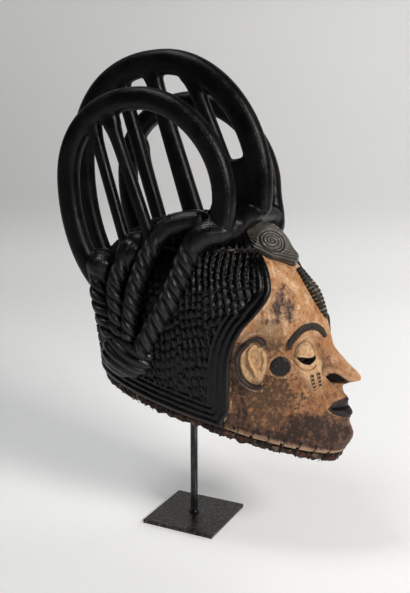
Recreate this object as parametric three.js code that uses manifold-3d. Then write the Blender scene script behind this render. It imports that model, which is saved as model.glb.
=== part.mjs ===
// A carved wooden helmet mask with three tall hoops over the head, held up by a steel rod on a plate.
// Millimetres, +Z up. The face looks along -Y, and the origin is the middle of the plate's underside.

import * as THREE from 'three';
import { mergeVertices } from 'three/addons/utils/BufferGeometryUtils.js';
import Module from 'manifold-3d';

// Stand
const PLATE_SIDE = 100;
const PLATE_THICK = 5;
const PLATE_EDGE_ROUND = 0.6;
const ROD_RADIUS = 4.8;
const TOUCH_GAP = 0.3;

// Bare head: distance of the face and of the nape from the rod's axis, and half the width, by height
const HEAD_LEVELS = [
  { z: 80, front: 184, back: 108, half: 60 },
  { z: 127, front: 200, back: 112, half: 67 },
  { z: 140, front: 207, back: 114, half: 70 },
  { z: 152, front: 211, back: 115, half: 72 },
  { z: 170, front: 205, back: 117, half: 75 },
  { z: 190, front: 197, back: 118, half: 77 },
  { z: 225, front: 187, back: 120, half: 80 },
  { z: 257, front: 179, back: 124, half: 82 },
  { z: 287, front: 172.5, back: 128, half: 83 },
  { z: 320, front: 170, back: 132, half: 83 },
  { z: 360, front: 168, back: 132, half: 83 },
  { z: 420, front: 165, back: 132, half: 83 },
];
const HEAD_CENTRE_Y = -20;
const CROWN_Z = 402;
const FOREHEAD_START_Z = 280;
const NAPE_DOME_START_Z = 290;
const SIDE_DOME_START_Z = 300;
const SIDE_DOME = { power: 2.6, root: 0.5 };
const FRONT_DOME = { power: 1.7, root: 0.6 };
const BACK_DOME = { power: 2, root: 0.5 };
const WALL = 13;
const HAIR_RISE = 6;

// Roundness of the head's outline seen from above: two make an oval, more a squarer one
const JAW_ROUNDNESS = 1.85;
const TEMPLE_ROUNDNESS = 2.15;
const JAW_Z = 165;
const TEMPLE_Z = 235;
const BACK_ROUNDNESS = 2.4;

// Facets of the head-shaped solids, and how far they crowd towards the face
const SKIN_FACETS = { sides: 30, rings: 20, lowZ: 90, crowding: 0.5 };
const HAIR_FACETS = { sides: 26, rings: 14, lowZ: 90, crowding: 0.2 };
const HOLLOW_FACETS = { sides: 16, rings: 9, lowZ: 70, crowding: 0.2 };
const DOME_RING_SHARE = 0.42;

// Lower rim: a plane through the chin that climbs to the nape
const RIM_CHIN_Y = -199;
const RIM_CHIN_Z = 129;
const RIM_TILT = THREE.MathUtils.degToRad(13.5);
const BELOW_RIM_BLOCK = [400, 700, 200];

// Hoops, each in an upright plane: outer edge as quarters of rounded ovals about the apex line
const HOOP_SIDE_X = 70;
const MIDDLE_HOOP = {
  apexY: 38,
  wide: 24,
  deep: 31,
  frontReach: 142.4,
  frontCentreZ: 440,
  frontRise: 162.7,
  frontPower: 1.9,
  frontDrop: 113,
  backReach: 140,
  backCentreZ: 460,
  backRise: 142.7,
  backPower: 2.3,
  backDrop: 191,
  frontFoot: 0.3,
  backFoot: 0.98,
};
const SIDE_HOOP = {
  apexY: 32.5,
  wide: 24,
  deep: 27,
  frontReach: 120.5,
  frontCentreZ: 432,
  frontRise: 123.5,
  frontPower: 1.85,
  frontDrop: 85,
  backReach: 117.5,
  backCentreZ: 445,
  backRise: 110.5,
  backPower: 2.17,
  backDrop: 150,
  frontFoot: 0.5,
  backFoot: 1.0,
};

// Struts under the hoops: top and bottom as [y, z] in the hoop's plane
const STRUTS = [
  { x: -HOOP_SIDE_X, top: [101, 520], foot: [46, 340], radius: 7 },
  { x: -HOOP_SIDE_X, top: [76, 525], foot: [18, 372], radius: 7.5 },
  { x: HOOP_SIDE_X, top: [116, 492], foot: [70, 340], radius: 6.5 },
  { x: HOOP_SIDE_X, top: [76, 525], foot: [18, 372], radius: 7.5 },
  { x: 0, top: [105, 575], foot: [40, 370], radius: 9 },
  { x: 0, top: [61, 588], foot: [-9, 380], radius: 9.5, footRadius: 14 },
  { x: 0, top: [8, 582], foot: [-60, 432], radius: 10, footRadius: 7 },
];
const WEB_THICK = 15;
const WEB_OUTLINE = [[-85, 380], [-15, 385], [-42, 464], [-64, 484], [-88, 478]];

// Hair line on each side as [y, z], from under the tongue down to the rim
const HAIR_LINE = [
  [-103, 372], [-112, 362], [-122, 347], [-128, 328], [-125, 315], [-114, 298],
  [-102, 283], [-93, 265], [-88, 247], [-86, 223], [-85, 198], [-84, 182], [-76, 168],
];
const HAIR_TOP_Z = 440;
const HAIR_BACK_Y = 170;
const HAIR_LOW_Z = 100;
const HAIR_BLOCK_WIDE = 260;
const WELT_INSET = 9;
const WELT_RADIUS = 2.6;

// Twisted tresses of one side: centre line as [x, y, z], share of it that is smooth root, half widths
const TRESSES = [
  { root: 0.33, rootHalf: 14, twistHalf: 12.5, line: [[66, -80, 395], [76, -65, 391], [84, -44, 371],
    [90, -28, 347], [92, -15, 323], [93, -2, 298], [92, 10, 274], [88, 24, 250]] },
  { root: 0.42, rootHalf: 13, twistHalf: 12, line: [[60, -32, 396], [66, -12, 398], [72, 5, 390],
    [79, 15, 374], [85, 21, 353], [89, 26, 333], [91, 31, 311], [91, 36, 288], [87, 41, 262]] },
  { root: 0.22, rootHalf: 16, twistHalf: 12.5, line: [[64, 34, 380], [73, 45, 370], [79, 53, 354],
    [83, 57, 334], [85, 59, 311], [86, 57, 287], [85, 52, 258]] },
  { root: 0.2, rootHalf: 17, twistHalf: 12.5, line: [[62, 92, 350], [67, 95, 338], [71, 96, 324],
    [77, 93, 304], [81, 85, 284], [84, 72, 262]] },
];
const TRESS_LUMP_LENGTH = 22;
const TRESS_LUMP_DEPTH = 0.2;
const TRESS_TAPER = 0.12;
const BUN = { centre: [80, 48, 238], radii: [19, 37, 30] };
const HOOP_ROOTS = [
  { centre: [60, -76, 393], radii: [14, 15, 12] },
  { centre: [66, 40, 370], radii: [16, 18, 18] },
  { centre: [64, 93, 340], radii: [18, 20, 24] },
];
const FAR_FRONT_ROOT = { centre: [55, -84, 386], radii: [14, 18, 17] };

// Tongue of hair over the forehead
const TONGUE_LINE = [[0, -74, 384], [0, -98, 371], [0, -120, 361.5], [0, -138, 355.5]];
const TONGUE_WIDE = [26, 42, 31, 5];
const TONGUE_DEEP = [9, 8.5, 8, 5.5];
const SPIRAL_TURNS = 2;
const SPIRAL_INNER_RADIUS = 2;
const SPIRAL_RADIUS = 17;
const SPIRAL_CORD_RADIUS = 2.5;
const SPIRAL_CENTRE = [-4, -105, 376];
const SPIRAL_FACING = [-0.1, -0.45, 0.88];

// Face, for one side where it has two
const NOSE_START = [0, -162, 280];
const NOSE_END = [0, -197, 211];
const NOSE_DEEP = [9, 11, 13, 18, 25];
const NOSE_WIDE = [8, 9, 10, 13, 17];
const NOSE_RIDGE_PINCH = 0.55;
const EYE = { y: -160, x: 35, z: 253, wide: 17, high: 13, deep: 11, turn: 0.5 };
const EYE_SLIT_WIDE = 19;
const EYE_SLIT_HIGH = 7;
const EYE_SLIT_Z = 248;
const EYE_SLIT_TOP = 2;
const EYE_SLIT_BORE = { inwards: 50, depth: 80 };
const BROW_LINE = [[8, -176, 271], [22, -170, 283], [33, -163, 283], [42, -157, 277], [49, -149, 262]];
const BROW_RADIUS = 3.4;
const UPPER_LIP = [[-27, -184, 189], [-14, -196, 195], [0, -201, 194], [14, -196, 195], [27, -184, 189]];
const LOWER_LIP = [[-25, -184, 187], [-13, -197, 179], [0, -203, 177.5], [13, -197, 179], [25, -184, 187]];
const LIP_RADIUS = 5.5;
const TUBE_END_SHARE = 0.12;
const TUBE_TAPER_POWER = 0.7;
const DISC = { y: -141, z: 243, radius: 11, rise: 2.5 };
const EAR = { y: -114, z: 244, wide: 20, high: 28, rise: 10, lean: 0.12 };
const CHEEK_BARS = [{ y: -167, z: 222 }, { y: -173, z: 221 }];
const CHEEK_BAR_SIZE = [3.5, 4, 18];
const CHEEK_BAR_LEAN = 0.12;
const CHEEK_BAR_TURN = -0.9;
const CHEEK_BAR_RISE = 0.5;
const FOREHEAD_RIDGE = { y: -152.5, z: 316, half: 13, long: 37, deep: 9, tilt: -0.56 };

// Binding sewn under the rim
const BINDING_RADIUS = 6;
const BINDING_FACETS = { round: 6, along: 36 };
const RIM_SEARCH_STEPS = 12;

const ROD_TOP_CLEARANCE = 5;

// Gentle swellings and hollows of the face: place across and up, spread, and rise
const FACE_SWELLS = [
  { x: 34, z: 254, across: 19, up: 16, rise: -7 },
  { x: 0, z: 258, across: 14, up: 16, rise: 3 },
  { x: 48, z: 218, across: 20, up: 20, rise: 4 },
  { x: 44, z: 178, across: 16, up: 16, rise: -3 },
  { x: 0, z: 188, across: 24, up: 17, rise: 3 },
];
const SWELLS_START_Y = -110;
const SWELLS_FULL_Y = -140;

const wasm = await Module();
wasm.setup();

function vector([x, y, z]) {
  return new THREE.Vector3(x, y, z);
}

// Reads a list of numbers as a smooth course from its first to its last value
function blendList(values, t) {
  const place = t * (values.length - 1);
  const i = Math.min(Math.floor(place), values.length - 2);
  return THREE.MathUtils.lerp(values[i], values[i + 1], place - i);
}

// Smooth value of one column of the head levels at a height
function headValue(key, z) {
  const last = HEAD_LEVELS.length - 1;
  let i = 0;
  while (i < last - 1 && z > HEAD_LEVELS[i + 1].z) {
    i += 1;
  }
  const slope = (k) => {
    const a = HEAD_LEVELS[Math.max(k - 1, 0)];
    const b = HEAD_LEVELS[Math.min(k + 1, last)];
    return (b[key] - a[key]) / (b.z - a.z);
  };
  const lower = HEAD_LEVELS[i];
  const upper = HEAD_LEVELS[i + 1];
  const span = upper.z - lower.z;
  const t = THREE.MathUtils.clamp((z - lower.z) / span, 0, 1);
  const curve = (2 * t - 3) * t * t + 1;
  return curve * lower[key] + (1 - curve) * upper[key]
    + (((t - 2) * t + 1) * t * slope(i) + (t - 1) * t * t * slope(i + 1)) * span;
}

// How much of its full reach the head keeps as it closes towards the crown
function domeShare(z, startZ, { power, root }, crown) {
  const t = THREE.MathUtils.clamp((z - startZ) / (crown - startZ), 0, 1);
  return (1 - t ** power) ** root;
}

// Half width, reach from the centre line and roundness of the head's outline at a height
function headSection(z, offset, towardsFace) {
  const crown = CROWN_Z + offset;
  const half = (headValue('half', z) + offset) * domeShare(z, SIDE_DOME_START_Z, SIDE_DOME, crown);
  if (towardsFace) {
    const full = headValue('front', z) + HEAD_CENTRE_Y + offset;
    const share = THREE.MathUtils.smoothstep(z, JAW_Z, TEMPLE_Z);
    const power = THREE.MathUtils.lerp(JAW_ROUNDNESS, TEMPLE_ROUNDNESS, share);
    return { half, reach: full * domeShare(z, FOREHEAD_START_Z, FRONT_DOME, crown), power };
  }
  const full = headValue('back', z) - HEAD_CENTRE_Y + offset;
  return { half, reach: full * domeShare(z, NAPE_DOME_START_Z, BACK_DOME, crown), power: BACK_ROUNDNESS };
}

// Point of the head's surface at an angle from the face and a height
function headPoint(angle, z, offset) {
  const towardsFace = Math.cos(angle) > 0;
  const { half, reach, power } = headSection(z, offset, towardsFace);
  const across = Math.sign(Math.sin(angle)) * Math.abs(Math.sin(angle)) ** (2 / power);
  const along = Math.abs(Math.cos(angle)) ** (2 / power);
  return new THREE.Vector3(half * across, HEAD_CENTRE_Y - Math.sign(Math.cos(angle)) * reach * along, z);
}

// Half width of the head at a place seen from the side
function sideX(y, z, offset) {
  const { half, reach, power } = headSection(z, offset, y < HEAD_CENTRE_Y);
  const share = Math.min(Math.abs(y - HEAD_CENTRE_Y) / reach, 1);
  return half * (1 - share ** power) ** (1 / power);
}

// Rise of the face's swellings at a point of the skin
function faceRise(point) {
  let rise = 0;
  for (const swell of FACE_SWELLS) {
    const across = (Math.abs(point.x) - swell.x) / swell.across;
    const up = (point.z - swell.z) / swell.up;
    rise += swell.rise * Math.exp(-across * across - up * up);
  }
  return rise * THREE.MathUtils.smoothstep(-point.y, -SWELLS_START_Y, -SWELLS_FULL_Y);
}

function rimHeight(y) {
  return RIM_CHIN_Z + (y - RIM_CHIN_Y) * Math.tan(RIM_TILT);
}

function toSolid(geometry) {
  const bare = geometry.clone();
  bare.deleteAttribute('normal');
  bare.deleteAttribute('uv');
  const merged = mergeVertices(bare, 1e-4);
  const mesh = new wasm.Mesh({
    numProp: 3,
    vertProperties: new Float32Array(merged.attributes.position.array),
    triVerts: new Uint32Array(merged.index.array),
  });
  return new wasm.Manifold(mesh);
}

function toGeometry(solid) {
  const mesh = solid.getMesh();
  const geometry = new THREE.BufferGeometry();
  geometry.setAttribute('position', new THREE.BufferAttribute(mesh.vertProperties.slice(), 3));
  geometry.setIndex(new THREE.BufferAttribute(mesh.triVerts.slice(), 1));
  geometry.computeVertexNormals();
  return geometry;
}

function moveVertices(geometry, place) {
  const position = geometry.attributes.position;
  const point = new THREE.Vector3();
  for (let i = 0; i < position.count; i += 1) {
    point.fromBufferAttribute(position, i);
    const moved = place(point);
    position.setXYZ(i, moved.x, moved.y, moved.z);
  }
  return geometry;
}

// Head-shaped solid: a globe whose rings are laid on the head's levels, closed flat below
function headSolid(offset, { sides, rings, lowZ, crowding }, withFace) {
  const domeRings = Math.round(rings * DOME_RING_SHARE);
  const crown = CROWN_Z + offset;
  const ringHeight = (ring) => {
    if (ring <= domeRings) {
      return FOREHEAD_START_Z + (crown - FOREHEAD_START_Z) * Math.cos((ring / domeRings) * Math.PI / 2);
    }
    const share = (ring - domeRings) / (rings - 1 - domeRings);
    return THREE.MathUtils.lerp(FOREHEAD_START_Z, lowZ, Math.min(share, 1));
  };
  const globe = new THREE.SphereGeometry(1, sides, rings);
  return moveVertices(globe, (point) => {
    const ring = Math.round(Math.acos(THREE.MathUtils.clamp(point.y, -1, 1)) / Math.PI * rings);
    const z = ringHeight(ring);
    if (ring === 0 || ring === rings) {
      return new THREE.Vector3(0, HEAD_CENTRE_Y, z);
    }
    const even = Math.atan2(-point.z, point.x);
    const placed = headPoint(even - crowding * Math.sin(even), z, offset);
    if (withFace) {
      const outward = new THREE.Vector3(placed.x * 2, placed.y - HEAD_CENTRE_Y, 0).normalize();
      placed.addScaledVector(outward, faceRise(placed));
    }
    return placed;
  });
}

// Limb along a curve: a cylinder whose rings are laid across the curve, with its own half sizes
function limbAlong(curve, sides, steps, flat, sizeAt) {
  const bar = new THREE.CylinderGeometry(1, 1, 1, sides, steps);
  return moveVertices(bar, (point) => {
    const t = THREE.MathUtils.clamp(0.5 - point.y, 0, 1);
    const centre = curve.getPoint(t);
    const tangent = curve.getTangent(t);
    const side = flat.clone().addScaledVector(tangent, -flat.dot(tangent)).normalize();
    const depth = new THREE.Vector3().crossVectors(tangent, side);
    const { wide, deep } = sizeAt(t);
    return centre.addScaledVector(side, point.x * wide).addScaledVector(depth, point.z * deep);
  });
}

function curveThrough(points) {
  return new THREE.CatmullRomCurve3(points.map(vector), false, 'centripetal');
}

function mirrored(solid) {
  return solid.mirror([1, 0, 0]);
}

// Signed power of a sine or cosine, for rounded ovals
function rounded(value, power) {
  return Math.sign(value) * Math.abs(value) ** (2 / power);
}

// Centre line of a hoop, from its front foot over the apex to its back foot
class HoopCurve extends THREE.Curve {
  constructor(hoop, x) {
    super();
    this.hoop = hoop;
    this.x = x;
  }

  getPoint(t, target = new THREE.Vector3()) {
    const { hoop } = this;
    const inset = hoop.deep / 2;
    const first = -Math.PI / 2 - hoop.frontFoot;
    const last = Math.PI / 2 + hoop.backFoot;
    const angle = THREE.MathUtils.lerp(first, last, t);
    const front = angle < 0;
    const below = Math.abs(angle) > Math.PI / 2;
    const reach = (front ? hoop.frontReach : hoop.backReach) - inset;
    const centreZ = front ? hoop.frontCentreZ : hoop.backCentreZ;
    const rise = (front ? hoop.frontRise : hoop.backRise) - inset;
    const drop = front ? hoop.frontDrop : hoop.backDrop;
    const upperPower = front ? hoop.frontPower : hoop.backPower;
    const power = below ? 2 : upperPower;
    const y = hoop.apexY + reach * rounded(Math.sin(angle), power);
    const z = centreZ + (below ? drop : rise) * rounded(Math.cos(angle), power);
    return target.set(this.x, y, z);
  }
}

function hoopSolid(hoop, x, steps) {
  const sideways = new THREE.Vector3(1, 0, 0);
  const half = { wide: hoop.wide / 2, deep: hoop.deep / 2 };
  return toSolid(limbAlong(new HoopCurve(hoop, x), 8, steps, sideways, () => half));
}

function strutSolid({ x, top, foot, radius, footRadius = radius }) {
  const line = new THREE.LineCurve3(vector([x, ...foot]), vector([x, ...top]));
  const sideways = new THREE.Vector3(1, 0, 0);
  return toSolid(limbAlong(line, 6, 1, sideways, (t) => {
    const half = THREE.MathUtils.lerp(footRadius, radius, t);
    return { wide: half, deep: half };
  }));
}

// Outline drawn in y and z, as thick as asked and centred on the middle plane
function sideExtrusion(outline, thick) {
  const block = new THREE.ExtrudeGeometry(outline, { depth: thick, bevelEnabled: false });
  block.applyMatrix4(new THREE.Matrix4().set(
    0, 0, 1, -thick / 2,
    1, 0, 0, 0,
    0, 1, 0, 0,
    0, 0, 0, 1,
  ));
  return toSolid(block);
}

// Plate standing in the middle plane between the front strut and the front leg
function webSolid() {
  return sideExtrusion(new THREE.Shape(WEB_OUTLINE.map(([y, z]) => new THREE.Vector2(y, z))), WEB_THICK);
}

// Raised hair: the head's form a little larger, kept only behind the hair line
function hairSolid() {
  const outline = new THREE.Shape([
    new THREE.Vector2(HAIR_BACK_Y, HAIR_LOW_Z),
    new THREE.Vector2(HAIR_BACK_Y, HAIR_TOP_Z),
    new THREE.Vector2(HAIR_LINE[0][0], HAIR_TOP_Z),
    ...HAIR_LINE.map(([y, z]) => new THREE.Vector2(y, z)),
    new THREE.Vector2(HAIR_LINE.at(-1)[0], HAIR_LOW_Z),
  ]);
  const block = sideExtrusion(outline, HAIR_BLOCK_WIDE);
  return toSolid(headSolid(HAIR_RISE, HAIR_FACETS, false)).intersect(block);
}

// Raised welt that follows the hair line on one side
function weltSolid() {
  const points = HAIR_LINE.map(([y, z], k) => {
    const before = HAIR_LINE[Math.max(k - 1, 0)];
    const after = HAIR_LINE[Math.min(k + 1, HAIR_LINE.length - 1)];
    const along = new THREE.Vector2(after[0] - before[0], after[1] - before[1]).normalize();
    const weltY = y - along.y * WELT_INSET;
    const weltZ = z + along.x * WELT_INSET;
    return [sideX(weltY, weltZ, HAIR_RISE), weltY, weltZ];
  });
  const size = { wide: WELT_RADIUS, deep: WELT_RADIUS };
  return toSolid(limbAlong(curveThrough(points), 4, 16, new THREE.Vector3(1, 0, 0), () => size));
}

// One twisted tress: smooth at its root, then a lump for each turn of the twist
function tressSolid({ root, rootHalf, twistHalf, line }) {
  const curve = curveThrough(line);
  const lumps = Math.round(curve.getLength() / TRESS_LUMP_LENGTH);
  const outwards = new THREE.Vector3(1, 0, 0);
  return toSolid(limbAlong(curve, 5, lumps * 2, outwards, (t) => {
    const twist = t < root ? 0 : (Math.round(t * lumps * 2) % 2) * TRESS_LUMP_DEPTH;
    const full = THREE.MathUtils.lerp(rootHalf, twistHalf, Math.min(t / root, 1));
    const half = full * (1 - TRESS_TAPER * t) * (1 - twist);
    return { wide: half, deep: half };
  }));
}

function ellipsoidSolid(centre, radii, sides, rings, turn = new THREE.Matrix4()) {
  const globe = new THREE.SphereGeometry(1, sides, rings);
  globe.scale(...radii);
  globe.applyMatrix4(turn);
  globe.translate(...centre);
  return toSolid(globe);
}

// Pointed tongue of hair that juts over the forehead
function tongueSolid() {
  const sideways = new THREE.Vector3(1, 0, 0);
  return toSolid(limbAlong(curveThrough(TONGUE_LINE), 8, 6, sideways, (t) => ({
    wide: blendList(TONGUE_WIDE, t),
    deep: blendList(TONGUE_DEEP, t),
  })));
}

// Coiled cord carved in the middle of the tongue
function spiralSolid() {
  const points = [];
  const perTurn = 6;
  const steps = SPIRAL_TURNS * perTurn;
  const place = facing(vector(SPIRAL_FACING).normalize()).setPosition(...SPIRAL_CENTRE);
  for (let i = 0; i <= steps; i += 1) {
    const angle = (i / perTurn) * 2 * Math.PI;
    const radius = THREE.MathUtils.lerp(SPIRAL_INNER_RADIUS, SPIRAL_RADIUS, i / steps);
    const point = new THREE.Vector3(radius * Math.cos(angle), radius * Math.sin(angle), 0);
    points.push(point.applyMatrix4(place).toArray());
  }
  const size = { wide: SPIRAL_CORD_RADIUS, deep: SPIRAL_CORD_RADIUS };
  return toSolid(limbAlong(curveThrough(points), 4, steps, vector(SPIRAL_FACING), () => size));
}

function noseSolid() {
  const line = new THREE.LineCurve3(vector(NOSE_START), vector(NOSE_END));
  const sideways = new THREE.Vector3(1, 0, 0);
  const nose = limbAlong(line, 8, 4, sideways, (t) => ({
    wide: blendList(NOSE_WIDE, t),
    deep: blendList(NOSE_DEEP, t),
  }));
  const axis = vector(NOSE_END).sub(vector(NOSE_START)).normalize();
  return toSolid(moveVertices(nose, (point) => {
    const along = point.clone().sub(vector(NOSE_START)).dot(axis);
    const centre = vector(NOSE_START).addScaledVector(axis, along);
    const ahead = Math.max(0, centre.y - point.y) / NOSE_DEEP.at(-1);
    return new THREE.Vector3(point.x * (1 - NOSE_RIDGE_PINCH * ahead), point.y, point.z);
  }));
}

function tubeSolid(points, radius, sides, steps) {
  const forward = new THREE.Vector3(0, 1, 0);
  const tube = limbAlong(curveThrough(points), sides, steps, forward, (t) => {
    const place = THREE.MathUtils.lerp(TUBE_END_SHARE, 1 - TUBE_END_SHARE, t);
    const half = radius * Math.sin(Math.PI * place) ** TUBE_TAPER_POWER;
    return { wide: half, deep: half };
  });
  return toSolid(tube);
}

// Direction that points out of the head at a place seen from the side, for the +X side
function outwardAt(y, z) {
  const step = 2;
  const slopeY = (sideX(y + step, z, 0) - sideX(y - step, z, 0)) / (2 * step);
  return new THREE.Vector3(1, -slopeY, 0).normalize();
}

// Turns +Z to an outward direction while +Y stays upright
function facing(outward, lean = 0) {
  const up = new THREE.Vector3(0, 0, 1);
  const across = new THREE.Vector3().crossVectors(up, outward).normalize();
  const upright = new THREE.Vector3().crossVectors(outward, across);
  const turn = new THREE.Matrix4().makeBasis(across, upright, outward);
  return turn.multiply(new THREE.Matrix4().makeRotationZ(lean));
}

// Ear: an oval dish with a raised rim
function earSolid() {
  const profile = [[0, 0.25], [0.55, 0.3], [0.72, 0.85], [0.86, 1], [1, 0.8], [1, -0.8], [0, -0.8]];
  const dish = new THREE.LatheGeometry(
    profile.map(([radius, rise]) => new THREE.Vector2(radius, rise)).reverse(), 11);
  dish.rotateX(Math.PI / 2);
  dish.scale(EAR.wide, EAR.high, EAR.rise);
  dish.applyMatrix4(facing(outwardAt(EAR.y, EAR.z), EAR.lean));
  dish.translate(sideX(EAR.y, EAR.z, 0), EAR.y, EAR.z);
  return toSolid(dish);
}

function discSolid() {
  const disc = new THREE.CylinderGeometry(DISC.radius, DISC.radius, 2 * DISC.rise, 12);
  disc.rotateX(Math.PI / 2);
  disc.applyMatrix4(facing(outwardAt(DISC.y, DISC.z)));
  disc.translate(sideX(DISC.y, DISC.z, 0), DISC.y, DISC.z);
  return toSolid(disc);
}

function cheekBarSolid({ y, z }) {
  const bar = new THREE.BoxGeometry(...CHEEK_BAR_SIZE);
  bar.rotateX(CHEEK_BAR_LEAN);
  bar.applyMatrix4(new THREE.Matrix4().makeRotationZ(CHEEK_BAR_TURN));
  bar.translate(sideX(y, z, CHEEK_BAR_RISE), y, z);
  return toSolid(bar);
}

function eyeSolid() {
  const turn = new THREE.Matrix4().makeRotationZ(EYE.turn);
  return ellipsoidSolid([EYE.x, EYE.y, EYE.z], [EYE.wide, EYE.deep, EYE.high], 9, 6, turn);
}

// Half-moon hole that the wearer looks through, under the heavy upper lid
function eyeSlitSolid() {
  const moon = new THREE.Shape();
  moon.moveTo(-EYE_SLIT_WIDE / 2, EYE_SLIT_TOP);
  moon.absellipse(0, EYE_SLIT_TOP, EYE_SLIT_WIDE / 2, EYE_SLIT_HIGH, Math.PI, 2 * Math.PI, false, 0);
  moon.closePath();
  const { inwards, depth } = EYE_SLIT_BORE;
  const bore = new THREE.ExtrudeGeometry(moon, { depth, bevelEnabled: false, curveSegments: 6 });
  bore.translate(0, 0, -inwards);
  bore.applyMatrix4(facing(new THREE.Vector3(Math.sin(EYE.turn), -Math.cos(EYE.turn), 0)));
  bore.translate(EYE.x, EYE.y, EYE_SLIT_Z);
  return toSolid(bore);
}

function foreheadRidgeSolid() {
  const turn = new THREE.Matrix4().makeRotationX(FOREHEAD_RIDGE.tilt);
  const radii = [FOREHEAD_RIDGE.half, FOREHEAD_RIDGE.deep, FOREHEAD_RIDGE.long];
  return ellipsoidSolid([0, FOREHEAD_RIDGE.y, FOREHEAD_RIDGE.z], radii, 8, 7, turn);
}

// Everything below the rim plane
function belowRimSolid() {
  const block = new THREE.BoxGeometry(...BELOW_RIM_BLOCK);
  block.translate(0, 0, -BELOW_RIM_BLOCK[2] / 2);
  block.rotateX(RIM_TILT);
  block.translate(0, RIM_CHIN_Y, RIM_CHIN_Z);
  return toSolid(block);
}

function maskSolid() {
  let mask = toSolid(headSolid(0, SKIN_FACETS, true));
  const oneSide = [
    weltSolid(),
    ...TRESSES.map(tressSolid),
    ...HOOP_ROOTS.map(({ centre, radii }) => ellipsoidSolid(centre, radii, 8, 6)),
    ellipsoidSolid(BUN.centre, BUN.radii, 8, 6),
    earSolid(),
    discSolid(),
    ...CHEEK_BARS.map(cheekBarSolid),
    eyeSolid(),
    tubeSolid(BROW_LINE, BROW_RADIUS, 4, 7),
  ];
  const others = [
    hairSolid(),
    hoopSolid(MIDDLE_HOOP, 0, 24),
    hoopSolid(SIDE_HOOP, -HOOP_SIDE_X, 20),
    hoopSolid(SIDE_HOOP, HOOP_SIDE_X, 20),
    ...STRUTS.map(strutSolid),
    webSolid(),
    ellipsoidSolid(FAR_FRONT_ROOT.centre, FAR_FRONT_ROOT.radii, 8, 6),
    tongueSolid(),
    spiralSolid(),
    noseSolid(),
    tubeSolid(UPPER_LIP, LIP_RADIUS, 5, 8),
    tubeSolid(LOWER_LIP, LIP_RADIUS, 5, 8),
    foreheadRidgeSolid(),
  ];
  for (const solid of oneSide) {
    mask = mask.add(solid).add(mirrored(solid));
  }
  for (const solid of others) {
    mask = mask.add(solid);
  }
  const slit = eyeSlitSolid();
  return mask
    .subtract(toSolid(headSolid(-WALL, HOLLOW_FACETS, false)))
    .subtract(slit)
    .subtract(mirrored(slit))
    .subtract(belowRimSolid());
}

// Point in the middle of the wall on the rim plane, at an angle from the face
function rimPoint(angle) {
  let point = headPoint(angle, RIM_CHIN_Z, -WALL / 2);
  for (let i = 0; i < RIM_SEARCH_STEPS; i += 1) {
    point = headPoint(angle, rimHeight(point.y), -WALL / 2);
  }
  return point;
}

// Roll of cloth and fibre under the rim, all the way round
function bindingGeometry() {
  const ringRadius = 10;
  const ring = new THREE.TorusGeometry(ringRadius, 1, BINDING_FACETS.round, BINDING_FACETS.along);
  const down = new THREE.Vector3(0, Math.sin(RIM_TILT), -Math.cos(RIM_TILT));
  return moveVertices(ring, (point) => {
    const angle = Math.atan2(point.y, point.x);
    const turn = Math.atan2(point.z, Math.hypot(point.x, point.y) - ringRadius);
    const centre = rimPoint(angle).addScaledVector(down, BINDING_RADIUS + TOUCH_GAP);
    const outward = rimPoint(angle + 0.02).sub(rimPoint(angle - 0.02)).normalize().cross(down).negate();
    return centre
      .addScaledVector(outward, BINDING_RADIUS * Math.cos(turn))
      .addScaledVector(down, -BINDING_RADIUS * Math.sin(turn));
  });
}

// Height of the hollow's ceiling over the edge of the rod
function ceilingHeight() {
  let low = FOREHEAD_START_Z;
  let high = CROWN_Z - WALL;
  const edge = ROD_RADIUS - HEAD_CENTRE_Y;
  while (high - low > 0.01) {
    const middle = (low + high) / 2;
    if (headSection(middle, -WALL, false).reach > edge) {
      low = middle;
    } else {
      high = middle;
    }
  }
  return low;
}

function rodGeometry() {
  const low = PLATE_THICK + TOUCH_GAP;
  const high = ceilingHeight() - ROD_TOP_CLEARANCE;
  const rod = new THREE.CylinderGeometry(ROD_RADIUS, ROD_RADIUS, high - low, 16);
  rod.rotateX(Math.PI / 2);
  rod.translate(0, 0, (low + high) / 2);
  return rod;
}

function plateGeometry() {
  const half = PLATE_SIDE / 2 - PLATE_EDGE_ROUND;
  const square = new THREE.Shape([
    new THREE.Vector2(-half, -half),
    new THREE.Vector2(half, -half),
    new THREE.Vector2(half, half),
    new THREE.Vector2(-half, half),
  ]);
  const plate = new THREE.ExtrudeGeometry(square, {
    depth: PLATE_THICK - 2 * PLATE_EDGE_ROUND,
    bevelThickness: PLATE_EDGE_ROUND,
    bevelSize: PLATE_EDGE_ROUND,
    bevelSegments: 1,
  });
  plate.translate(0, 0, PLATE_EDGE_ROUND);
  return plate;
}

const BLACKENED_WOOD = { color: 0x2b2a2c, roughness: 0.5, metalness: 0 };
const DARK_FIBRE = { color: 0x3a1f16, roughness: 0.9, metalness: 0 };
const BLACK_STEEL = { color: 0x17171a, roughness: 0.35, metalness: 0.6 };

function named(name, geometry, finish) {
  const mesh = new THREE.Mesh(geometry, new THREE.MeshStandardMaterial(finish));
  mesh.name = name;
  return mesh;
}

const crestMask = new THREE.Group();
crestMask.add(
  named('mask', toGeometry(maskSolid()), BLACKENED_WOOD),
  named('rim_binding', bindingGeometry(), DARK_FIBRE),
  named('stand_rod', rodGeometry(), BLACK_STEEL),
  named('stand_plate', plateGeometry(), BLACK_STEEL),
);

export default crestMask;
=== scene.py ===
# A carved and blackened wooden helmet mask with three tall hoops over the head, on a steel rod and plate.
# The shapes are worked out in millimetres, in the frame of the CAD model, and kept in metres.

import math

import bmesh
import bpy
import numpy as np
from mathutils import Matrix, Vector, noise


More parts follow.
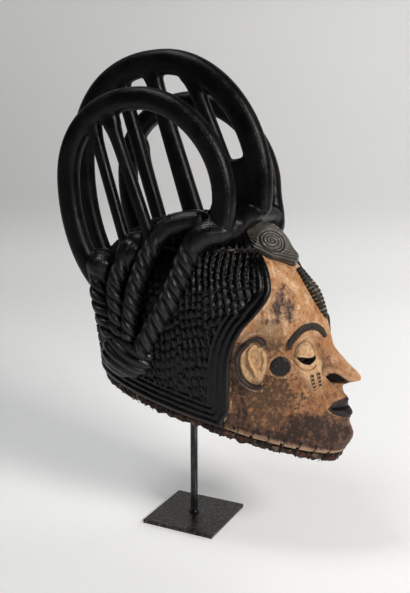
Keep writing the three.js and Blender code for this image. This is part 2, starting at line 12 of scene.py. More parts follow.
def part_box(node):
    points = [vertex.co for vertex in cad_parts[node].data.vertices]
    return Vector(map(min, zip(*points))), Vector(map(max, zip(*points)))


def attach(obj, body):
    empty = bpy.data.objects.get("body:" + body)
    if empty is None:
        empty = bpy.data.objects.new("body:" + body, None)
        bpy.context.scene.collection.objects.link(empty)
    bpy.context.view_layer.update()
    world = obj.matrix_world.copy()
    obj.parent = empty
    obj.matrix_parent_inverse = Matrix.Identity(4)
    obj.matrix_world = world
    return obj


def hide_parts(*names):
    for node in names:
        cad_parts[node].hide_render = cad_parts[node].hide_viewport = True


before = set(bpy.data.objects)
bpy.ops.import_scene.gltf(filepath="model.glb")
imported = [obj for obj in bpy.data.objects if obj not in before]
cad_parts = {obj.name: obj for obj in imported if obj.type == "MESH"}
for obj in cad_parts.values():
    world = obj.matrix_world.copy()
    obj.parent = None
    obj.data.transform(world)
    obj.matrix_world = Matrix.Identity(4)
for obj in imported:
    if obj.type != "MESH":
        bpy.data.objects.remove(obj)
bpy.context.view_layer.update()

MM = 0.001
SIDEWAYS, BACKWARDS, UPWARDS = np.eye(3)
TURN = 2 * math.pi
# Vertices nearer than this are one
SEAM = 0.02
# Where the camera stands round the rod and above the floor
CAMERA_AROUND, CAMERA_ABOVE = math.radians(-63.7), math.radians(11.67)

# What repeats in the carving, the cloth and the thread, in millimetres from one to the next
BEAD_PITCH, BROW_PITCH, RIDGE_PITCH = 4.4, 3.4, 4.8
BORDER_PITCH, COMB_PITCH, TWIST_PITCH, BUN_PITCH = 7.4, 1.9, 15.5, 12.0
STUD_WIDE, STUD_HIGH, BRICK_WIDE, BRICK_HIGH = 8.2, 12.4, 5.4, 5.0
TONGUE_PITCH, COIL_PITCH = 4.2, 3.8
WEAVE_PITCH, THREAD_PITCH, STITCH_PITCH = 1.6, 1.1, 17.5


# Measures of the head, the same as in the part's source

# Height, reach of the face, reach of the nape, half width
HEAD_LEVELS = np.array([
    (80, 184, 108, 60), (127, 200, 112, 67), (140, 207, 114, 70), (152, 211, 115, 72),
    (170, 205, 117, 75), (190, 197, 118, 77), (225, 187, 120, 80), (257, 179, 124, 82),
    (287, 172.5, 128, 83), (320, 170, 132, 83), (360, 168, 132, 83), (420, 165, 132, 83),
], float)
HEAD_CENTRE_Y = -20.0
CROWN_Z = 402.0
# How the dome closes: from which height, how sharply and how roundly
SIDE_DOME, FACE_DOME, NAPE_DOME = (300, 2.6, 0.5), (280, 1.7, 0.6), (290, 2, 0.5)
FOREHEAD_START_Z = 280.0
WALL = 13.0
HAIR_RISE = 6.0
# Top of the hair line, and where the border beside it gets narrower
HAIR_TOP_Z, NARROW_Z = 372.0, 300.0
# The rows of the hair start at the first height, lean with the rim, and are level from the second on
HAIR_LOW_Z, LEVEL_Z = 165.0, 235.0
# The lower rim's plane: a place on it under the chin, and its tilt
RIM_CHIN_Y, RIM_CHIN_Z = -199.0, 129.0
RIM_TILT = math.radians(13.5)
BINDING_RADIUS = 6.0
# Steps in which the meeting of the head and the rim's plane is found
RIM_STEPS = 14

# Depth and height of the hair's front edge, from the top to the rim
HAIR_LINE = [
    (-103, 372), (-112, 362), (-122, 347), (-128, 328), (-125, 315), (-114, 298),
    (-102, 283), (-93, 265), (-88, 247), (-86, 223), (-85, 198), (-84, 182), (-76, 168),
]


def eased(low, high, value):
    """Rises smoothly from 0 at low to 1 at high."""
    share = np.clip((value - low) / (high - low), 0, 1)
    return share * share * (3 - 2 * share)


def faded(low, high, value):
    """Falls smoothly from 1 at low to 0 at high."""
    return 1 - eased(low, high, value)


def flow(place, places, values):
    """Smooth course through listed values, read at a place."""
    places, values = np.asarray(places, float), np.asarray(values, float)
    last = len(places) - 1
    i = np.clip(np.searchsorted(places, place, side="right") - 1, 0, last - 1)
    after, before = np.minimum(np.arange(last + 1) + 1, last), np.maximum(np.arange(last + 1) - 1, 0)
    slopes = (values[after] - values[before]) / (places[after] - places[before])
    span = places[i + 1] - places[i]
    t = np.clip((place - places[i]) / span, 0, 1)
    curve = (2 * t - 3) * t * t + 1
    bend = ((t - 2) * t + 1) * t * slopes[i] + (t - 1) * t * t * slopes[i + 1]
    return curve * values[i] + (1 - curve) * values[i + 1] + bend * span


def dome_share(z, start, power, root, crown):
    """Share of a width that is left at a height, where the dome closes from start to crown."""
    t = np.clip((z - start) / (crown - start), 0, 1)
    return np.maximum(1 - t ** power, 0) ** root


def head_section(z, offset, towards_face):
    """Half width, reach and roundness of the head's outline at a height."""
    crown = CROWN_Z + offset
    face, nape, half = [flow(z, HEAD_LEVELS[:, 0], reaches) for reaches in HEAD_LEVELS.T[1:]]
    half = (half + offset) * dome_share(z, *SIDE_DOME, crown)
    front = (face + HEAD_CENTRE_Y + offset) * dome_share(z, *FACE_DOME, crown)
    back = (nape - HEAD_CENTRE_Y + offset) * dome_share(z, *NAPE_DOME, crown)
    face_power = 1.85 + 0.3 * eased(165, 235, z)
    return half, np.where(towards_face, front, back), np.where(towards_face, face_power, 2.4)


def head_point(angle, z, offset):
    """Points of the head's surface at angles from the face and heights."""
    cosine, sine = np.cos(angle), np.sin(angle)
    half, reach, power = head_section(z, offset, cosine > 0)
    across = np.sign(sine) * np.abs(sine) ** (2 / power)
    along = np.sign(cosine) * np.abs(cosine) ** (2 / power)
    return np.stack([half * across, HEAD_CENTRE_Y - reach * along, z + 0 * half], -1)


def head_x(y, z, offset):
    """Half width of the head at a place seen from the side."""
    half, reach, power = head_section(np.asarray(z, float), offset, y < HEAD_CENTRE_Y)
    share = np.minimum(np.abs(y - HEAD_CENTRE_Y) / np.maximum(reach, 1e-3), 1)
    return half * (1 - share ** power) ** (1 / power)


def head_out(points, offset):
    """Outward directions of the head's surface near some points."""
    def fullness(p):
        half, reach, power = head_section(p[:, 2], offset, p[:, 1] < HEAD_CENTRE_Y)
        across = np.abs(p[:, 0]) / np.maximum(half, 0.5)
        along = np.abs(p[:, 1] - HEAD_CENTRE_Y) / np.maximum(reach, 0.5)
        return across ** power + along ** power
    step = 0.4
    slope = np.stack([
        fullness(points + step * axis) - fullness(points - step * axis) for axis in np.eye(3)
    ], -1)
    on_top = points[:, 2] > CROWN_Z + offset - 1.5
    slope[on_top] = (0, 0, 1)
    return slope / np.maximum(np.linalg.norm(slope, axis=1, keepdims=True), 1e-9)


def angle_at(y, z, offset):
    """Angle from the face at which the head's surface passes a depth."""
    _, reach, power = head_section(z, offset, y < HEAD_CENTRE_Y)
    share = np.clip(np.abs(y - HEAD_CENTRE_Y) / np.maximum(reach, 1e-3), 0, 1) ** (power / 2)
    angle = np.arccos(share)
    return np.where(y < HEAD_CENTRE_Y, angle, math.pi - angle)


def rim_height(y):
    """Height of the lower rim's plane."""
    return RIM_CHIN_Z + (y - RIM_CHIN_Y) * math.tan(RIM_TILT)


# Lines and distances

def gone_along(line):
    """How far along a line each of its points is."""
    return np.concatenate([[0], np.cumsum(np.linalg.norm(np.diff(line, axis=0), axis=1))])


def read_off(at, knots, table):
    """Rows of a table, which stand at the knots, read at some places between them."""
    return np.stack([np.interp(at, knots, column) for column in table.T], -1)


def drawn(points, count=80):
    """Smooth line through some points, as evenly spaced points."""
    points = np.asarray(points, float)
    knots = np.concatenate([[0], np.cumsum(np.linalg.norm(np.diff(points, axis=0), axis=1) ** 0.75)])
    fine = np.linspace(0, knots[-1], 12 * len(points))
    line = np.stack([flow(fine, knots, points[:, k]) for k in range(points.shape[1])], -1)
    return evenly(line, count)


def evenly(line, count):
    """The same line with its points evenly spaced."""
    gone = gone_along(line)
    return read_off(np.linspace(0, gone[-1], count), gone, line)


def reach_to(points, line):
    """Distance from points to a line, and how far along the line the nearest place is."""
    best = np.full(len(points), 1e9)
    along = np.zeros(len(points))
    gone = 0.0
    for a, b in zip(line[:-1], line[1:]):
        step = b - a
        length = max(float(np.linalg.norm(step)), 1e-9)
        t = np.clip((points - a) @ step / length ** 2, 0, 1)
        apart = np.linalg.norm(points - (a + t[:, None] * step), axis=1)
        nearer = apart < best
        best = np.where(nearer, apart, best)
        along = np.where(nearer, gone + t * length, along)
        gone += length
    return best, along


def inside(points, outline):
    """Distance to a closed outline in a plane, positive inside it."""
    outline = np.asarray(outline, float)
    closed = np.vstack([outline, outline[:1]])
    apart, _ = reach_to(points, closed)
    crossed = np.zeros(len(points), bool)
    for (ax, ay), (bx, by) in zip(closed[:-1], closed[1:]):
        spans = (ay > points[:, 1]) != (by > points[:, 1])
        if abs(by - ay) > 1e-9:
            crossed ^= spans & (points[:, 0] < ax + (points[:, 1] - ay) * (bx - ax) / (by - ay))
    return np.where(crossed, apart, -apart)


def ridged(value, pitch):
    """0 in each groove and 1 between two of them, which are a pitch apart."""
    return np.abs(np.sin(math.pi * value / pitch))


def mound(a, b, at_a, at_b, wide_a, wide_b):
    """1 at a place in a plane, falling to 0 round it."""
    return np.exp(-((a - at_a) / wide_a) ** 2 - ((b - at_b) / wide_b) ** 2)


def bell(t):
    """1 in the middle, falling smoothly to 0 at one."""
    return faded(0.08, 1, np.abs(t))


def nearness(value, middle, low, high):
    """1 within low of a middle value, falling to 0 at high from it."""
    return faded(low, high, np.abs(value - middle))


def one_side(points):
    """The same places, all mirrored to the mask's left."""
    return np.column_stack([np.abs(points[:, 0]), points[:, 1:]])


# Making meshes

def places(verts):
    return np.array([v.co for v in verts], float).reshape(-1, 3)


def move(verts, points):
    for vert, point in zip(verts, points):
        vert.co = point


def blank(*marks):
    """Empty mesh that can keep these numbers for each vertex, for the materials."""
    bm = bmesh.new()
    for name in marks:
        bm.verts.layers.float.new(name)
    return bm


def mark(bm, verts, **marks):
    for name, values in marks.items():
        layer = bm.verts.layers.float[name]
        for vert, value in zip(verts, np.broadcast_to(values, len(verts))):
            vert[layer] = value


def marked(bm, verts, *names):
    """The numbers kept on some vertices, a row for each name."""
    layers = [bm.verts.layers.float[name] for name in names]
    return np.array([[vert[layer] for vert in verts] for layer in layers])


def grid(bm, columns, rows):
    """Flat sheet of squares; gives its vertices and their shares across and up."""
    verts = bmesh.ops.create_grid(bm, x_segments=columns, y_segments=rows, size=0.5)["verts"]
    share = places(verts)[:, :2] + 0.5
    return verts, share[:, 0], share[:, 1]


def globe(bm, around, along):
    """Ball whose rings will be laid along a line; gives vertices, share along and angle around."""
    verts = bmesh.ops.create_uvsphere(bm, u_segments=around, v_segments=along, radius=1)["verts"]
    p = places(verts)
    return verts, np.arccos(np.clip(p[:, 2], -1, 1)) / math.pi, np.arctan2(p[:, 1], p[:, 0])


def limb(bm, line, size, around, along, power=2.0, end=1.0, flat=SIDEWAYS, carve=None, **marks):
    """Rounded bar along a line. size gives half width and half depth at a share along it, power makes
    its section squarer, and carve gives the share of the size that is left at (along in mm, angle)."""
    verts, t, angle = globe(bm, around, along)
    length = gone_along(line)[-1]
    shares = np.linspace(0, 1, len(line))
    centre = read_off(t, shares, line)
    tangent = read_off(t, shares, np.gradient(line, axis=0))
    tangent /= np.linalg.norm(tangent, axis=1, keepdims=True)
    side = flat - tangent * (tangent @ flat)[:, None]
    side /= np.linalg.norm(side, axis=1, keepdims=True)
    depth = np.cross(tangent, side)
    wide, deep = size(t)
    near_end = np.minimum(t, 1 - t) * length / (end * np.minimum(wide, deep))
    closing = np.sqrt(np.clip(1 - (1 - np.clip(near_end, 0, 1)) ** 2, 0, 1))
    closing = np.where((t < 1e-6) | (t > 1 - 1e-6), 0, closing)
    if carve is not None:
        closing = closing * carve(t * length, angle)
    c, s = np.cos(angle), np.sin(angle)
    across = np.sign(c) * np.abs(c) ** (2 / power) * wide * closing
    down = np.sign(s) * np.abs(s) ** (2 / power) * deep * closing
    move(verts, centre + side * across[:, None] + depth * down[:, None])
    mark(bm, verts, run=t * length, turn=angle, **marks)
    return verts


def even_size(wide, deep):
    return lambda t: (wide + 0 * t, deep + 0 * t)


def made_object(name, bm, smooth=True):
    """Makes an object of the scene out of a mesh that is worked out."""
    mesh = bpy.data.meshes.new(name)
    bm.to_mesh(mesh)
    bm.free()
    mesh.polygons.foreach_set("use_smooth", [smooth] * len(mesh.polygons))
    made = bpy.data.objects.new(name, mesh)
    bpy.context.scene.collection.objects.link(made)
    return made


def finished(name, bm, slot_name, *materials, node="mask", smooth=True, rounds=0):
    """Closes the seams, turns the faces outwards and makes the mesh a piece of the object. Rounds is how
    broad the surroundings are that its ridges and grooves are marked against."""
    bmesh.ops.remove_doubles(bm, verts=bm.verts, dist=SEAM)
    bmesh.ops.dissolve_degenerate(bm, dist=1e-4, edges=bm.edges)
    bmesh.ops.recalc_face_normals(bm, faces=bm.faces)
    bmesh.ops.scale(bm, vec=(MM, MM, MM), verts=bm.verts)
    piece = made_object(name, bm, smooth)
    for material in materials:
        piece.data.materials.append(material)
    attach(piece, "root")
    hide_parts(node)
    if rounds:
        mark_height(piece.data, rounds)
    return piece


def settled(piece):
    """Makes a piece's modifiers part of its mesh, and gives that mesh."""
    graph = bpy.context.evaluated_depsgraph_get()
    mesh = bpy.data.meshes.new_from_object(piece.evaluated_get(graph))
    piece.modifiers.clear()
    piece.data = mesh
    mesh.name = piece.name
    return mesh


def mesh_points(mesh):
    """Places of a finished mesh's vertices, in millimetres."""
    points = np.empty(len(mesh.vertices) * 3)
    mesh.vertices.foreach_get("co", points)
    return points.reshape(-1, 3) / MM


def mark_mesh(mesh, name, values):
    """Keeps numbers on the vertices of a finished mesh."""
    layer = mesh.attributes.get(name) or mesh.attributes.new(name, "FLOAT", "POINT")
    layer.data.foreach_set("value", values.astype(np.float32))


def mark_height(mesh, rounds):
    """Marks how many millimetres each place stands above its surroundings: grooves are below 0."""
    points = mesh_points(mesh)
    count = len(points)
    normals = np.empty(count * 3)
    mesh.vertices.foreach_get("normal", normals)
    edges = np.empty(len(mesh.edges) * 2, int)
    mesh.edges.foreach_get("vertices", edges)
    a, b = edges.reshape(-1, 2).T
    shares = np.maximum(np.bincount(a, minlength=count) + np.bincount(b, minlength=count), 1)
    smooth = points.copy()
    for _ in range(rounds):
        total = np.stack([
            np.bincount(a, smooth[b, k], count) + np.bincount(b, smooth[a, k], count) for k in range(3)
        ], -1)
        smooth = 0.5 * smooth + 0.5 * total / shares[:, None]
    mark_mesh(mesh, "worn", ((points - smooth) * normals.reshape(-1, 3)).sum(1))


# Materials

def paint(red, green, blue):
    """Colour as it looks on a screen, 0 to 255, as the renderer counts it."""
    return tuple(
        c / 255 / 12.92 if c <= 10.3 else ((c / 255 + 0.055) / 1.055) ** 2.4 for c in (red, green, blue)
    ) + (1.0,)


def set_socket(tree, socket, value):
    """Feeds a socket from another one, or gives it a constant."""
    if isinstance(value, bpy.types.NodeSocket):
        tree.links.new(value, socket)
    else:
        socket.default_value = value


def put(tree, kind, links=None, **settings):
    """Adds a node, with its settings and what feeds its sockets."""
    node = tree.nodes.new(kind)
    for name, value in settings.items():
        setattr(node, name, value)
    for socket, value in (links or {}).items():
        set_socket(tree, node.inputs[socket], value)
    return node


def mixed(tree, share, a, b):
    return put(tree, "ShaderNodeMix", {0: share, 6: a, 7: b}, data_type="RGBA").outputs[2]


def mixed_value(tree, share, a, b):
    return put(tree, "ShaderNodeMix", {0: share, 2: a, 3: b}).outputs[0]


def reckon(tree, how, a, b=0.0, c=0.0):
    return put(tree, "ShaderNodeMath", {0: a, 1: b, 2: c}, operation=how).outputs[0]


def times(tree, a, b):
    return reckon(tree, "MULTIPLY", a, b)


def wave(tree, value, pitch):
    """Sine that goes round once in each pitch of a value."""
    return reckon(tree, "SINE", times(tree, value, TURN / pitch))


def ribs(tree, value, pitch):
    """1 on top of each rib and 0 between two of them, which are a pitch apart."""
    return reckon(tree, "ABSOLUTE", wave(tree, value, 2 * pitch))


def ramp(tree, value, low, high, out_low=0.0, out_high=1.0):
    """Reads a value as a smooth step between two others."""
    links = {"Value": value, "From Min": low, "From Max": high, "To Min": out_low, "To Max": out_high}
    return put(tree, "ShaderNodeMapRange", links, interpolation_type="SMOOTHSTEP").outputs[0]


def coated(tree, colour, *coats):
    """Lays coats over a colour, each where its mask goes from one level to another, and so dense."""
    for mask, low, high, dense, tint in coats:
        colour = mixed(tree, ramp(tree, mask, low, high, 0.0, dense), colour, paint(*tint))
    return colour


def blended(tree, mask, levels, low_paint, high_paint):
    """Goes from one paint to another where a mask goes from one level to another."""
    return mixed(tree, ramp(tree, mask, *levels), low_paint, high_paint)


def stirred(tree, value, cloud, strength):
    """A value made uneven by a cloud of noise."""
    return reckon(tree, "MULTIPLY_ADD", reckon(tree, "SUBTRACT", cloud, 0.5), strength, value)


def dents(tree, height, strength, distance, **normal):
    """Small relief on the surface; the distance is in metres."""
    links = {"Height": height, "Strength": strength, "Distance": distance}
    return put(tree, "ShaderNodeBump", {**links, **normal}).outputs[0]


def kept(tree, name):
    """A number kept on the vertices."""
    return put(tree, "ShaderNodeAttribute", attribute_name=name).outputs["Fac"]


def here(tree):
    return put(tree, "ShaderNodeTexCoord").outputs["Object"]


def cloudy(tree, where, scale, detail, rough=0.5):
    links = {"Vector": where, "Scale": scale, "Detail": detail, "Roughness": rough}
    return put(tree, "ShaderNodeTexNoise", links).outputs["Fac"]


def spots(tree, scale, detail=4.0, stretch=(1, 1, 1), shift=(0, 0, 0), rough=0.55):
    """Cloudy noise on object coordinates; scale is how many times a metre it changes."""
    links = {"Vector": here(tree), "Scale": stretch, "Location": shift}
    return cloudy(tree, put(tree, "ShaderNodeMapping", links).outputs[0], scale, detail, rough)


def group(name, given, results):
    """Effect that several materials share: given numbers with their usual values, and what comes out."""
    tree = bpy.data.node_groups.new(name, "ShaderNodeTree")
    for label, value in given.items():
        tree.interface.new_socket(label, in_out="INPUT", socket_type="NodeSocketFloat").default_value = value
    for label in results:
        kind = "NodeSocketVector" if label == "Normal" else "NodeSocketFloat"
        tree.interface.new_socket(label, in_out="OUTPUT", socket_type=kind)
    entry, leave = tree.nodes.new("NodeGroupInput"), tree.nodes.new("NodeGroupOutput")
    return tree, entry.outputs, leave.inputs


def placed(tree, effect, links):
    """Places a shared effect in a material, with its own values."""
    node = tree.nodes.new("ShaderNodeGroup")
    node.node_tree = effect
    for socket, value in links.items():
        set_socket(tree, node.inputs[socket], value)
    return node.outputs


def wood_grain():
    """Grain that runs up the carving: fine fibres, with broader darker bands, and tool marks."""
    tree, given, out = group("wood_grain", {"Fineness": 1.0, "Depth": 0.3}, ("Fibres", "Bands", "Normal"))
    links = {0: here(tree), "Scale": given["Fineness"]}
    scaled = put(tree, "ShaderNodeVectorMath", links, operation="SCALE").outputs[0]
    upright = put(tree, "ShaderNodeMapping", {"Vector": scaled, "Scale": (1, 1, 0.12)}).outputs[0]
    fibres = cloudy(tree, upright, 900.0, 3.0, 0.6)
    tool_marks = cloudy(tree, scaled, 170.0, 2.0)
    height = reckon(tree, "MULTIPLY_ADD", tool_marks, 1.6, fibres)
    tree.links.new(fibres, out["Fibres"])
    tree.links.new(cloudy(tree, upright, 110.0, 3.0), out["Bands"])
    tree.links.new(dents(tree, height, given["Depth"], 0.0008), out["Normal"])
    return tree


def edge_wear():
    """Where hands and time have rubbed a surface: ridges catch wear, and grooves are darkened."""
    tree, given, out = group("edge_wear", {"Height": 0.0, "Reach": 0.4, "Patches": 60.0}, ("Worn", "Deep"))
    patches = cloudy(tree, here(tree), given["Patches"], 4.0, 0.6)
    height = reckon(tree, "DIVIDE", given["Height"], given["Reach"])
    uneven = reckon(tree, "MULTIPLY_ADD", patches, 1.6, -0.8)
    tree.links.new(ramp(tree, reckon(tree, "ADD", height, uneven), 0.25, 1.3), out["Worn"])
    tree.links.new(ramp(tree, reckon(tree, "SUBTRACT", uneven, height), 0.1, 1.3), out["Deep"])
    return tree


GRAIN = wood_grain()
WEAR = edge_wear()


def fresh(name):
    """New material, with its tree and shader."""
    material = bpy.data.materials.new(name)
    material.use_nodes = True
    return material, material.node_tree, material.node_tree.nodes["Principled BSDF"]


def feed(tree, shader, **links):
    """Feeds the shader's own sockets."""
    for name, value in links.items():
        label = {"color": "Base Color", "gleam": "Specular IOR Level"}.get(name, name.capitalize())
        set_socket(tree, shader.inputs[label], value)


def face_wood():
    """Smoothed brown face, rubbed with pale clay round the eyes and stained dark at the jaw and temple, with
    painted shade in its slits, nostrils, mouth and creases.
    """
    material, tree, shader = fresh("face_wood")
    grain = placed(tree, GRAIN, {"Fineness": 0.8, "Depth": 0.35})
    wear = placed(tree, WEAR, {"Height": kept(tree, "worn"), "Reach": 0.9, "Patches": 90.0})
    clouds = spots(tree, 42.0, 4.0)
    blots = spots(tree, 120.0, 5.0, shift=(3, 1, 2), rough=0.65)
    smears = spots(tree, 95.0, 5.0, stretch=(1.2, 1.2, 0.45), shift=(0.7, 2, 0.4), rough=0.65)
    mottle = spots(tree, 210.0, 6.0, shift=(1, 5, 2), rough=0.72)
    specks = spots(tree, 800.0, 4.0, rough=0.65)
    smudge = ramp(tree, reckon(tree, "MULTIPLY_ADD", clouds, 1.2, kept(tree, "smudge")), 0.5, 1.1)
    smudged = reckon(tree, "MULTIPLY_ADD", smudge, 0.13, mottle)
    cheek = coated(
        tree, blended(tree, clouds, (0.38, 0.62), paint(154, 104, 66), paint(184, 134, 90)),
        (specks, 0.52, 0.64, 0.4, (206, 164, 122)),
        (blots, 0.46, 0.6, 0.7, (108, 68, 42)),
        (smudged, 0.53, 0.66, 0.88, (54, 33, 23)),
        (specks, 0.44, 0.34, 0.6, (64, 42, 30)),
    )
    brow = coated(
        tree, blended(tree, clouds, (0.38, 0.62), paint(186, 132, 86), paint(208, 164, 122)),
        (smears, 0.5, 0.64, 0.75, (160, 98, 54)),
        (smears, 0.45, 0.36, 0.6, (232, 200, 170)),
        (mottle, 0.5, 0.62, 0.6, (146, 104, 68)),
        (specks, 0.44, 0.34, 0.75, (104, 70, 44)),
    )
    stain = stirred(tree, kept(tree, "stain"), smears, 2.2)
    colour = coated(
        tree, mixed(tree, kept(tree, "warm"), cheek, brow),
        (stirred(tree, smudge, mottle, 1.6), 0.3, 1.1, 0.5, (92, 68, 48)),
        (stain, 0.2, 0.75, 0.72, (86, 56, 45)),
        (stirred(tree, stain, mottle, 2.6), 0.5, 0.95, 0.85, (38, 24, 19)),
    )
    clay = stirred(tree, kept(tree, "clay"), blots, 1.6)
    clay = ramp(tree, stirred(tree, clay, mottle, 1.4), 0.25, 0.85)
    pale = blended(tree, mottle, (0.4, 0.6), paint(226, 190, 146), paint(196, 152, 108))
    pale = coated(tree, pale, (blots, 0.52, 0.66, 0.6, (150, 104, 76)))
    colour = mixed(tree, times(tree, clay, 0.9), colour, pale)
    rim = times(tree, kept(tree, "pale"), ramp(tree, blots, 0.6, 0.44, 0.1, 0.75))
    colour = mixed(tree, rim, colour, paint(146, 118, 100))
    scraped = stirred(tree, stirred(tree, kept(tree, "scrape"), blots, 3.0), mottle, 1.5)
    colour = coated(tree, colour, (scraped, 0.5, 1.1, 0.8, (226, 190, 164)))
    colour = mixed(tree, times(tree, wear["Deep"], 0.7), colour, paint(46, 30, 22))
    colour = mixed(tree, times(tree, wear["Worn"], 0.35), colour, paint(222, 182, 144))
    lips = ramp(tree, stirred(tree, kept(tree, "lips"), mottle, 0.6), 0.35, 0.65)
    lip_paint = blended(tree, mottle, (0.4, 0.62), paint(20, 13, 12), paint(42, 32, 29))
    colour = mixed(tree, lips, colour, lip_paint)
    # painted shade: near-black, rough paint where the mesh is marked dark: eye slits, lid creases, nostrils,
    # under the nose, the mouth and stitch holes
    dark = ramp(tree, reckon(tree, "MULTIPLY_ADD", specks, 0.35, kept(tree, "dark")), 0.35, 0.9)
    colour = mixed(tree, dark, colour, paint(16, 10, 8))
    rough = mixed_value(tree, dark, ramp(tree, mottle, 0.3, 0.7, 0.34, 0.56), 0.95)
    fine = reckon(tree, "MULTIPLY_ADD", mottle, 1.5, specks)
    normal = dents(tree, fine, 0.5, 0.0009, Normal=grain["Normal"])
    feed(tree, shader, color=colour, roughness=rough, normal=normal, gleam=0.32)
    return material


def raw_wood():
    """Inside of the hollow: rough dark wood with adze marks."""
    material, tree, shader = fresh("raw_wood")
    grain = placed(tree, GRAIN, {"Fineness": 0.5, "Depth": 0.8})
    colour = blended(tree, grain["Bands"], (0.35, 0.65), paint(58, 40, 29), paint(92, 66, 46))
    colour = coated(tree, colour, (grain["Fibres"], 0.5, 0.7, 0.6, (34, 24, 19)))
    feed(tree, shader, color=colour, roughness=0.85, normal=grain["Normal"])
    return material


def black_wood(name, tint, least_rough, wear_reach, wear_share, worn_tint, gleam=0.36, lines=None,
               combed=False, cut_tint=None):
    """Wood blackened with a glossy dark stain that has rubbed off its ridges and along the given lines."""
    material, tree, shader = fresh(name)
    grain = placed(tree, GRAIN, {"Fineness": 1.0, "Depth": 0.3})
    wear = placed(tree, WEAR, {"Height": kept(tree, "worn"), "Reach": wear_reach, "Patches": 70.0})
    clouds = spots(tree, 45.0, 4.0)
    fine = spots(tree, 300.0, 3.0)
    dark = tuple(c * 0.45 for c in tint[:3]) + (1.0,)
    colour = blended(tree, clouds, (0.35, 0.7), dark, tint)
    colour = coated(tree, colour, (grain["Fibres"], 0.58, 0.78, 0.35, (46, 42, 40)))
    rubbed = times(tree, wear["Worn"], wear_share)
    colour = mixed(tree, rubbed, colour, blended(tree, fine, (0.4, 0.6), worn_tint, paint(70, 62, 58)))
    colour = mixed(tree, times(tree, wear["Deep"], 0.7), colour, paint(9, 8, 9))
    if lines:
        broken = times(tree, ramp(tree, fine, 0.38, 0.58), ramp(tree, clouds, 0.4, 0.58, 0.15, 1.0))
        colour = mixed(tree, times(tree, lines(tree), broken), colour, worn_tint)
    if cut_tint:
        colour = mixed(tree, times(tree, kept(tree, "cut"), 0.85), colour, cut_tint)
    rough = ramp(tree, clouds, 0.3, 0.7, least_rough - 0.06, least_rough + 0.12)
    rough = reckon(tree, "ADD", rough, times(tree, rubbed, 0.18))
    if cut_tint:
        rough = reckon(tree, "MULTIPLY_ADD", kept(tree, "cut"), 0.4, rough)
    normal = grain["Normal"]
    if combed:
        strands = reckon(tree, "MULTIPLY_ADD", wave(tree, kept(tree, "strand"), COMB_PITCH), 0.5, 0.5)
        normal = dents(tree, strands, 0.22, 0.0007, Normal=normal)
    feed(tree, shader, color=colour, roughness=rough, normal=normal, gleam=gleam)
    return material


def bead_wood():
    """Small blackened squares in a row, with pale clay between them."""
    material, tree, shader = fresh("bead_wood")
    along = ribs(tree, kept(tree, "run"), BEAD_PITCH)
    on_top = ribs(tree, kept(tree, "turn"), math.pi)
    square = times(tree, ramp(tree, along, 0.35, 0.55), ramp(tree, on_top, 0.45, 0.65))
    fine = spots(tree, 700.0, 3.0)
    pale = blended(tree, fine, (0.4, 0.6), paint(196, 156, 118), paint(160, 118, 84))
    dark = blended(tree, fine, (0.4, 0.65), paint(30, 24, 22), paint(64, 50, 42))
    feed(tree, shader, color=mixed(tree, square, pale, dark), roughness=0.6)
    return material


def hatched(pitch, share):
    """Pale lines across a bar, where its cuts are rubbed bare."""
    return lambda tree: ramp(tree, ribs(tree, kept(tree, "run"), pitch), 0.72, 0.4, 0.0, share)


def edge_lines(tree):
    """Two thin lines along the outer edge of each hoop."""
    total = 0.0
    for line_at in (3.2, 5.6):
        apart = reckon(tree, "ABSOLUTE", reckon(tree, "SUBTRACT", kept(tree, "from_edge"), line_at))
        total = reckon(tree, "ADD", ramp(tree, apart, 0.7, 0.2, 0.0, 0.55), total)
    return total


def bound_cloth():
    """Roll of old brown cloth under the rim: woven, greasy and worn."""
    material, tree, shader = fresh("bound_cloth")
    threads_around = 26
    along = wave(tree, kept(tree, "run"), WEAVE_PITCH)
    across = wave(tree, kept(tree, "turn"), TURN / threads_around)
    weave = times(tree, along, across)
    clouds = spots(tree, 90.0, 4.0)
    blots = spots(tree, 260.0, 5.0, rough=0.7)
    reds = spots(tree, 75.0, 3.0, shift=(0.3, 1.1, 0.2))
    tufts = spots(tree, 120.0, 5.0, shift=(1.7, 0.4, 0.9), rough=0.7)
    colour = blended(tree, clouds, (0.46, 0.58), paint(26, 21, 17), paint(88, 60, 44))
    colour = coated(
        tree, colour,
        (reds, 0.52, 0.6, 0.8, (122, 48, 40)),
        (tufts, 0.53, 0.6, 0.85, (164, 138, 108)),
        (blots, 0.5, 0.58, 0.9, (18, 14, 13)),
        (weave, 0.2, 1.0, 0.25, (110, 78, 62)),
    )
    height = reckon(tree, "MULTIPLY_ADD", blots, 2.0, weave)
    feed(tree, shader, color=colour, roughness=0.85, normal=dents(tree, height, 0.9, 0.0012))
    return material


def dark_thread():
    """Black fibre of the stitches and frayed ends."""
    material, tree, shader = fresh("dark_thread")
    twist = wave(tree, kept(tree, "run"), THREAD_PITCH)
    clouds = spots(tree, 160.0, 3.0)
    colour = blended(tree, clouds, (0.4, 0.65), paint(20, 16, 15), paint(62, 48, 40))
    feed(tree, shader, color=colour, roughness=0.75, normal=dents(tree, twist, 0.5, 0.0004))
    return material


